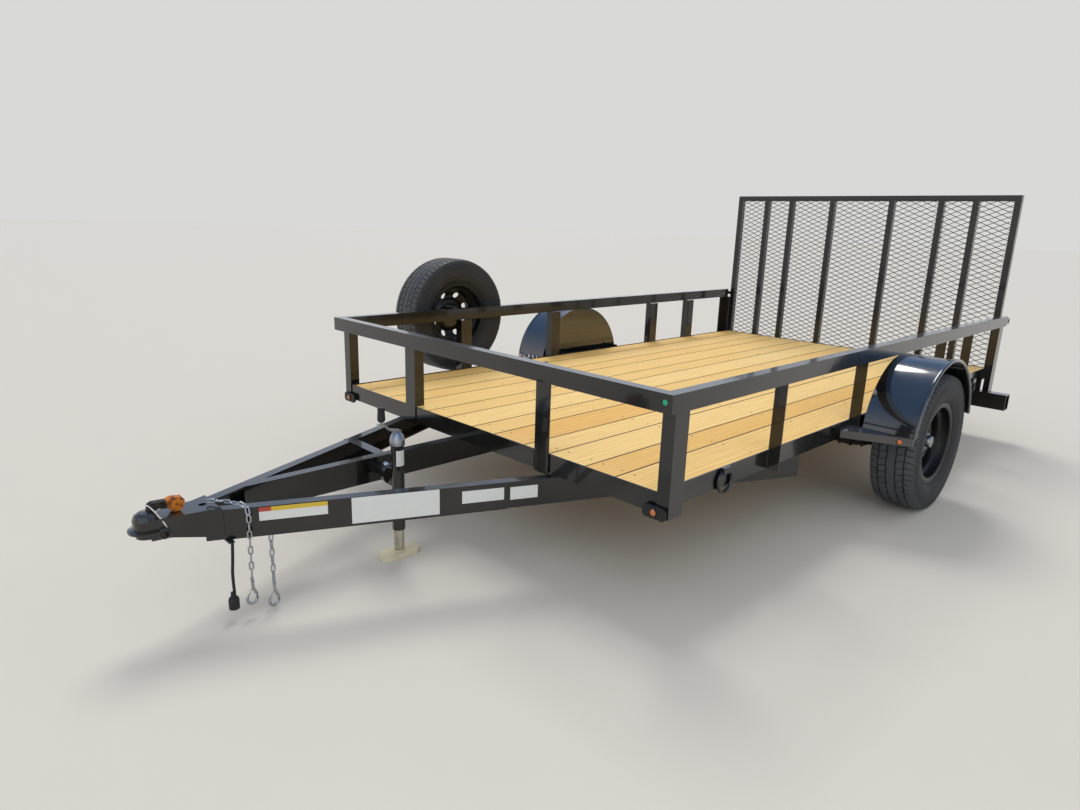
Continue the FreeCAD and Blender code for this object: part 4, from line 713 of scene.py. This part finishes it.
# Gate mesh: stretched diamonds, each strand a flat bar that dips over its neighbour at the knots
MESH_HALF, MESH_LOW, MESH_HIGH, MESH_Y = 993, 383, 1547, 3597.0
DIAMOND_LONG, DIAMOND_TALL = 76.2, 33.9
STRAND_HALF = 2.1
STRAND_FRONT = (-1.6, -1.6, 0.2, 0.2)  # behind MESH_Y at its four corners, two low and two high
STRAND_BACK = (-0.4, -0.4, 1.6, 1.6)
STRAND_FACES = [(0, 1, 2, 3), (7, 6, 5, 4), (0, 3, 7, 4), (1, 5, 6, 2), (0, 4, 5, 1), (3, 2, 6, 7)]

pile = Pile()
half_long, half_tall = DIAMOND_LONG / 2, DIAMOND_TALL / 2
slope = math.hypot(half_long, half_tall)
for row in range(int((MESH_HIGH - MESH_LOW) / half_tall)):
    z = MESH_LOW + row * half_tall
    top = z + half_tall
    left = -MESH_HALF + (half_long if row % 2 else 0)
    for column in range(int((MESH_HALF - left) / DIAMOND_LONG) + 1):
        x = left + column * DIAMOND_LONG
        for lean in (-1, 1):
            far = x + lean * half_long
            if abs(far) > MESH_HALF:
                continue
            nx = -lean * half_tall / slope * STRAND_HALF
            nz = half_long / slope * STRAND_HALF
            corners = [(x - nx, z - nz), (x + nx, z + nz), (far + nx, top + nz), (far - nx, top - nz)]
            bar = [at(a, MESH_Y + deep, b) for face in (STRAND_FRONT, STRAND_BACK)
                   for (a, b), deep in zip(corners, face)]
            pile.put(bar, STRAND_FACES)
mesh = shape("gate_mesh_made", pile.points, pile.faces, M["gate"], "ramp_gate")
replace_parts(mesh, "gate_mesh_front")
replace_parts(mesh, "gate_mesh_back")

# Safety chains: round links along the part's routes, and forged hooks
LINK_LONG, LINK_WIDE, LINK_BAR, LINK_PITCH = 38, 24, 6.2, 27.5
LINK_STEPS, LINK_SIDES = 20, 10
HOOK = [(0, 2), (0, -10), (2, -26), (7, -40), (12, -50), (13, -62), (9, -74), (0, -80.5), (-10, -80), (-17, -73),
        (-19.5, -63), (-20, -56)]
HOOK_LATCH = [(-18, -54), (-8, -36), (0, -22)]
HOOK_EYE_R = 8
HOOK_BAR_R, EYE_BAR_R, LATCH_BAR_R = 5.0, 3.6, 1.6


def link():
    """One link standing along Z: a round bar bent to an oval."""
    bend = LINK_WIDE / 2 - LINK_BAR
    points = []
    for i in range(LINK_STEPS):
        ray = 2 * math.pi * i / LINK_STEPS
        shift = (LINK_LONG / 2 - LINK_WIDE / 2) * (1 if math.sin(ray) > 0 else -1)
        spot = Vector((bend * math.cos(ray) * MM, 0, (bend * math.sin(ray) + shift) * MM))
        out = Vector((math.cos(ray), 0, math.sin(ray)))
        for j in range(LINK_SIDES):
            turn = 2 * math.pi * j / LINK_SIDES
            points.append(spot + (out * math.cos(turn) + Vector((0, 1, 0)) * math.sin(turn)) * LINK_BAR / 2 * MM)
    return points, rings_to_faces(LINK_STEPS, LINK_SIDES, True)


def chain(name, route, hook_spot, node_name):
    """Links along a route in the drawing, every other one turned across, with a hook below its end."""
    pile = Pile()
    one = link()
    travel = LINK_PITCH / 2
    number = 0
    for start, end in zip(route, route[1:]):
        run = Vector(end) - Vector(start)
        turn = Vector((0, 0, 1)).rotation_difference(run).to_matrix().to_4x4()
        while travel < run.length:
            spot = Vector(start) + run * (travel / run.length)
            twist = Matrix.Rotation(math.radians(45 + 90 * (number % 2)), 4, "Z")
            pile.put(*one, Matrix.Translation(at(*spot)) @ turn @ twist)
            number += 1
            travel += LINK_PITCH
        travel -= run.length
    x, y, z = hook_spot
    pile.put(*tube_along([at(x, y + along, z + high) for along, high in HOOK], HOOK_BAR_R, 10))
    ring = [at(x + HOOK_EYE_R * math.cos(i * math.pi / 8), y, z + 4 + HOOK_EYE_R * math.sin(i * math.pi / 8))
            for i in range(16)]
    pile.put(*tube_along(ring, EYE_BAR_R, 8, closed=True))
    pile.put(*tube_along([at(x, y + along, z + high) for along, high in HOOK_LATCH], LATCH_BAR_R, 6))
    made = shape(name, pile.points, pile.faces, M["chain"], smooth=True)
    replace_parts(made, node_name)


chain("chain_made_a", [(12, -1090, 395.8), (42, -1050, 395.8), (99.96, -1012, 392.8), (111.96, -1000, 383.8),
                       (121.96, -1000, 359.8), (119.96, -1003, 132)], (119.96, -1003, 126), "chain_left")
chain("chain_made_b", [(104.1, -925, 268.2), (117.1, -930, 100)], (117.1, -930, 92), "chain_right")

# Deck screws: two in each board over every crossmember
BOARD_PAIRS = 6
CROSSMEMBERS, CROSS_FIRST, CROSS_PITCH, CROSS_MIDDLE = 7, 60, 567.5, 22
pile = Pile()
head, head_faces = lathe([(0, 4.2), (0.9, 4.0), (0.9, 1.6), (0.3, 0.01), (0, 0.01)], 12)
upright = Matrix.Rotation(-math.pi / 2, 4, "Y")
random.seed(7)
for i in range(BOARD_PAIRS):
    broad_edge = DECK_HALF - i * BOARD_PAIR
    for edge, wide in ((broad_edge, BOARD_BROAD), (broad_edge - BOARD_BROAD - BOARD_GAP, BOARD_NARROW)):
        for j in range(CROSSMEMBERS):
            for share in (0.17, 0.83):
                x = edge - wide * share + random.uniform(-3, 3)
                y = CROSS_FIRST + CROSS_PITCH * j + CROSS_MIDDLE + random.uniform(-4, 4)
                pile.put(head, head_faces, Matrix.Translation(at(x, y, DECK_TOP)) @ upright)
shape("deck_screws", pile.points, pile.faces, M["screw"], sharp=30)

# Blank labels along the left tongue leg: name, start and end from its nose, foot, top, material
RAKE = math.radians(23.75)
LEG_OUT = (math.cos(RAKE), -math.sin(RAKE), 0)
LEG_NOSE_X, LEG_NOSE_Y = 51, -1112
LEG_LABELS = [
    ("label_front", 162, 378, 327, 358, "label"),
    ("label_front_band", 200, 378, 358, 373, "yellow_band"),
    ("label_front_end", 162, 200, 358, 373, "red_band"),
    ("label_number", 456, 759, 281, 375, "label"),
    ("label_third", 841, 998, 311, 358, "label"),
    ("label_fourth", 1022, 1129, 307, 356, "label"),
]


def on_leg(along, z):
    """A point on the left tongue leg's outer face."""
    return LEG_NOSE_X + along * math.sin(RAKE), LEG_NOSE_Y + along * math.cos(RAKE), z


for name, start, end, foot, top, made in LEG_LABELS:
    sheet(name, [on_leg(start, foot), on_leg(end, foot), on_leg(end, top), on_leg(start, top)], M[made], LEG_OUT)

# The jack's label follows its round tube
STRIPS, STRIP_FIRST, STRIP_TURN = 9, -44, 9.5  # angles in degrees
LABEL_IN, LABEL_OUT, LABEL_LOW, LABEL_HIGH = 25.1, 25.75, 378, 440
pile = Pile()
for i in range(STRIPS + 1):
    ray = math.radians(STRIP_FIRST + STRIP_TURN * i)
    for r, z in ((LABEL_IN, LABEL_LOW), (LABEL_OUT, LABEL_LOW), (LABEL_OUT, LABEL_HIGH), (LABEL_IN, LABEL_HIGH)):
        pile.points.append(at(JACK_X + r * math.cos(ray), JACK_Y + r * math.sin(ray), z))
pile.faces = rings_to_faces(STRIPS + 1, 4, False) + [(0, 1, 2, 3), tuple(range(4 * STRIPS, 4 * STRIPS + 4))]
shape("jack_label", pile.points, pile.faces, M["label"], "jack_swivel", sharp=35)
button("rail_sticker", (1030, -49.3, 772), (0, -1, 0), [(0, 9), (0.5, 9), (0.5, 0.01), (0, 0.01)], M["teal"])

# Caps set into the rails' open ends
CAP_LOW, CAP_HIGH = 739.6, 796.9
for side, word in ((1, "left"), (-1, "right")):
    for name, corners, way in (
            ("front_rail_cap_", [(side * 1057.4, y) for y in (-46.2, -7.9)], (side, 0, 0)),
            ("side_rail_cap_", [(side * x, 3574.4) for x in (1016.6, 1054.9)], (0, 1, 0))):
        (x1, y1), (x2, y2) = corners
        sheet(name + word, [(x1, y1, CAP_LOW), (x2, y2, CAP_LOW), (x2, y2, CAP_HIGH), (x1, y1, CAP_HIGH)],
              M["black"], way)

# Chequer plate on the steps: short raised bars, each turned against the next
STEP_TOP = 430.4
STEP_IN, STEP_OUT, STEP_FRONT, STEP_REAR = 1014, 1280, 1340, 1446
STEP_SLOPE = 0.4176  # of the step's front edge
CHEQUER_X, CHEQUER_Y = 1000, 1334  # where its rows and columns start
CHEQUER_PITCH_X, CHEQUER_PITCH_Y = 19.5, 15.5
CHEQUER = [(-9.5, 0, 0), (0, -2.8, 0), (9.5, 0, 0), (0, 2.8, 0), (-4.5, 0, 1.3), (4.5, 0, 1.3)]
CHEQUER_FACES = [(0, 1, 4), (1, 5, 4), (1, 2, 5), (2, 3, 5), (3, 4, 5), (3, 0, 4), (0, 3, 2, 1)]
pile = Pile()
for side in (1, -1):
    for row in range(8):
        for column in range(15):
            x = CHEQUER_X + CHEQUER_PITCH_X * column
            y = CHEQUER_Y + CHEQUER_PITCH_Y * row
            front = STEP_FRONT + max(x - STEP_IN, 0) * STEP_SLOPE
            if y < front or y > STEP_REAR or x > STEP_OUT:
                continue
            turn = math.radians(45 if (row + column) % 2 else -45)
            here = Matrix.Translation(at(side * x, y, STEP_TOP)) @ Matrix.Rotation(turn, 4, "Z")
            pile.put([(a * MM, b * MM, c * MM) for a, b, c in CHEQUER], CHEQUER_FACES, here)
shape("step_chequer", pile.points, pile.faces, M["arch"])

# The jack's bright head and its pull pin; bosses on the coupler's lever pin; a tie through the latch
button("jack_head", (JACK_X, JACK_Y, 458), (0, 0, 1),
       [(0, 29.0), (23, 29.0), (24.6, 28.4), (38.3, 24.0), (50.4, 14.6), (50.4, 0.01), (0, 0.01)],
       M["hub"], "jack_swivel", 40)
button("jack_pull_pin", (-46, JACK_Y, 354), (1, 0, 0),
       [(0, 9), (3, 12), (13, 12), (16, 8), (42, 7), (42, 0.01), (0, 0.01)], M["nut"])
for side, word in ((1, "left"), (-1, "right")):
    button("lever_boss_" + word, (side * 41, -1229, 336), (side, -0.13, 0),
           [(0, 18), (9, 18), (11, 16), (11, 12), (8, 10), (8, 5), (13, 5), (13, 0.01), (0, 0.01)], M["black"])
LATCH_TIE = [(4, -1263, 424), (13, -1256, 420), (26, -1244, 402), (38, -1233, 381), (43.5, -1226, 366),
             (44, -1221, 352)]
points, faces = tube_along([at(*p) for p in LATCH_TIE], 2.2, 8)
shape("latch_tie", points, faces, M["label"], smooth=True)

# Weld beads along the joints that show, as (start, end)
WELDS = [
    ((992.5, -4.8, 736), (1043, -4.8, 736)),
    ((1043, -4.8, 736), (1043, 71, 736)),
    ((404, -4.8, 736), (480, -4.8, 736)),
    ((-480, -4.8, 736), (-404, -4.8, 736)),
    ((404, -5.5, 453), (404, -5.5, 376.8)),
    ((480, -5.5, 453), (480, -5.5, 376.8)),
    ((1013.5, -5.5, 738), (1013.5, -5.5, 799)),
]
POST_FRONTS = (717, 1455, 2498, 2966)


def bead(pile, start, end, width=5):
    """A row of overlapping ripples."""
    a = at(*start)
    run = at(*end) - a
    count = max(int(run.length / (0.5 * width * MM)), 2)
    route = [a + run * (i / count) for i in range(count + 1)]
    points, faces = tube_along(route, width / 2, 8)
    for i, spot in enumerate(route):
        grow = 1.0 + 0.13 * math.sin(i * 2.1)
        for k in range(i * 8, i * 8 + 8):
            points[k] = spot + (points[k] - spot) * grow
    pile.put(points, faces)


pile = Pile()
for start, end in WELDS:
    bead(pile, start, end)
for side in (1, -1):
    for front in POST_FRONTS:
        bead(pile, (side * 990.6, front + 1, 452), (side * 990.6, front + 75, 452), 4.5)
        bead(pile, (side * 990.6, front - 0.4, 378), (side * 990.6, front - 0.4, 452), 4.5)
        bead(pile, (side * 1014.5, front - 0.4, RAIL_LOW), (side * 1040, front - 0.4, RAIL_LOW), 4.5)
    for y in (-4.4, 71.8):
        bead(pile, (side * 1040, y, RAIL_LOW), (side * 1043, y, RAIL_LOW), 4.0)
shape("weld_beads", pile.points, pile.faces, M["black"], smooth=True)


def bolt(pile, spot, way, radius, height):
    """A hexagon head over a washer."""
    here = facing(spot, way)
    pile.put(*lathe([(0, radius * 1.5), (2, radius * 1.5), (2, 0.01), (0, 0.01)], 20), here)
    head = [(2, radius), (height - 1, radius), (height, radius * 0.9), (height, 0.01), (2, 0.01)]
    pile.put(*lathe(head, 6), here)


# Nuts of the springs: under the tie plates on the U-bolts, and on the pins of the hangers and shackles
TIE_PLATE_LOW = 264
U_BOLT_SIDE, U_BOLT_ALONG = 30.25, 37
PIN_NUT_SIDE = 38.25
SPRING_PINS = ((-320.5, 335), (320.5, 335), (360.5, 349))  # from the axle, and their height
U_BOLT_END = [(0, 6), (24, 6), (25, 5), (25, 0.01), (0, 0.01)]
pile = Pile()
for side in (1, -1):
    for x in (SPRING_X + U_BOLT_SIDE, SPRING_X - U_BOLT_SIDE):
        for y in (AXLE_Y - U_BOLT_ALONG, AXLE_Y + U_BOLT_ALONG):
            bolt(pile, (side * x, y, TIE_PLATE_LOW - 0.2), (0, 0, -1), 9, 12)
            down = Matrix.Translation(at(side * x, y, TIE_PLATE_LOW)) @ Matrix.Rotation(math.pi / 2, 4, "Y")
            pile.put(*lathe(U_BOLT_END, 12), down)
    for along, z in SPRING_PINS:
        for way in (1, -1):
            bolt(pile, (side * (SPRING_X + way * PIN_NUT_SIDE), AXLE_Y + along, z), (way * side, 0, 0), 9, 9)
shape("chassis_nuts", pile.points, pile.faces, M["steel"], sharp=30)

# Round marker lamps: rubber ring and domed lens, on the front corners and the steps' front edges
LENS = [(0, 11.4), (3, 11.4), (5.6, 10.2), (7.6, 7.4), (8.7, 3.8), (8.9, 0.01), (0, 0.01)]
GROMMET = [(0, 12.9), (2.4, 12.7), (3.4, 11.9), (3.4, 11.3), (0, 11.3)]
STEP_TURN = math.radians(22.67)
for side, word in ((1, "left"), (-1, "right")):
    for where, spot, way in (
            ("front", (side * 992, -16.8, 385.8), (0, -1, 0)),
            ("step", (side * 1237, 1417.15, 410.6), (side * math.sin(STEP_TURN), -math.cos(STEP_TURN), 0))):
        lens = button("marker_lens_%s_%s" % (where, word), spot, way, LENS, M["amber"])
        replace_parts(lens, "marker_lamps")
        button("marker_ring_%s_%s" % (where, word), spot, way, GROMMET, M["plastic"])

# Wiring: the harness runs under the left leg from the clip to the frame
HARNESS = [(70, -1048, 271.5), (78, -1020, 271), (148, -862, 270.5), (258, -612, 270.5), (376, -344, 270.5),
           (448, -180, 271)]
points, faces = tube_along([at(*p) for p in HARNESS], 3.4, 8)
shape("harness_run", points, faces, M["cable"], smooth=True)

# Wiring cable: the same route as the part's
ROUTE = [at(96, -1048, 270), at(99, -1052, 211.3333), at(93, -1056, 152.6667), at(95, -1054, 94)]
line = bpy.data.curves.new("wiring_run", "CURVE")
line.dimensions = "3D"
line.bevel_depth = 5 * MM
line.use_fill_caps = True
line.bevel_resolution = 5
line.resolution_u = 12
spline = line.splines.new("NURBS")
spline.points.add(len(ROUTE) - 1)
for point, spot in zip(spline.points, ROUTE):
    point.co = (*spot, 1)
spline.order_u = 3
spline.use_endpoint_u = True
cable = bpy.data.objects.new("wiring_run", line)
line.materials.append(M["cable"])
bpy.context.scene.collection.objects.link(cable)
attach(cable, "chassis")
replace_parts(cable, "wiring_cable")
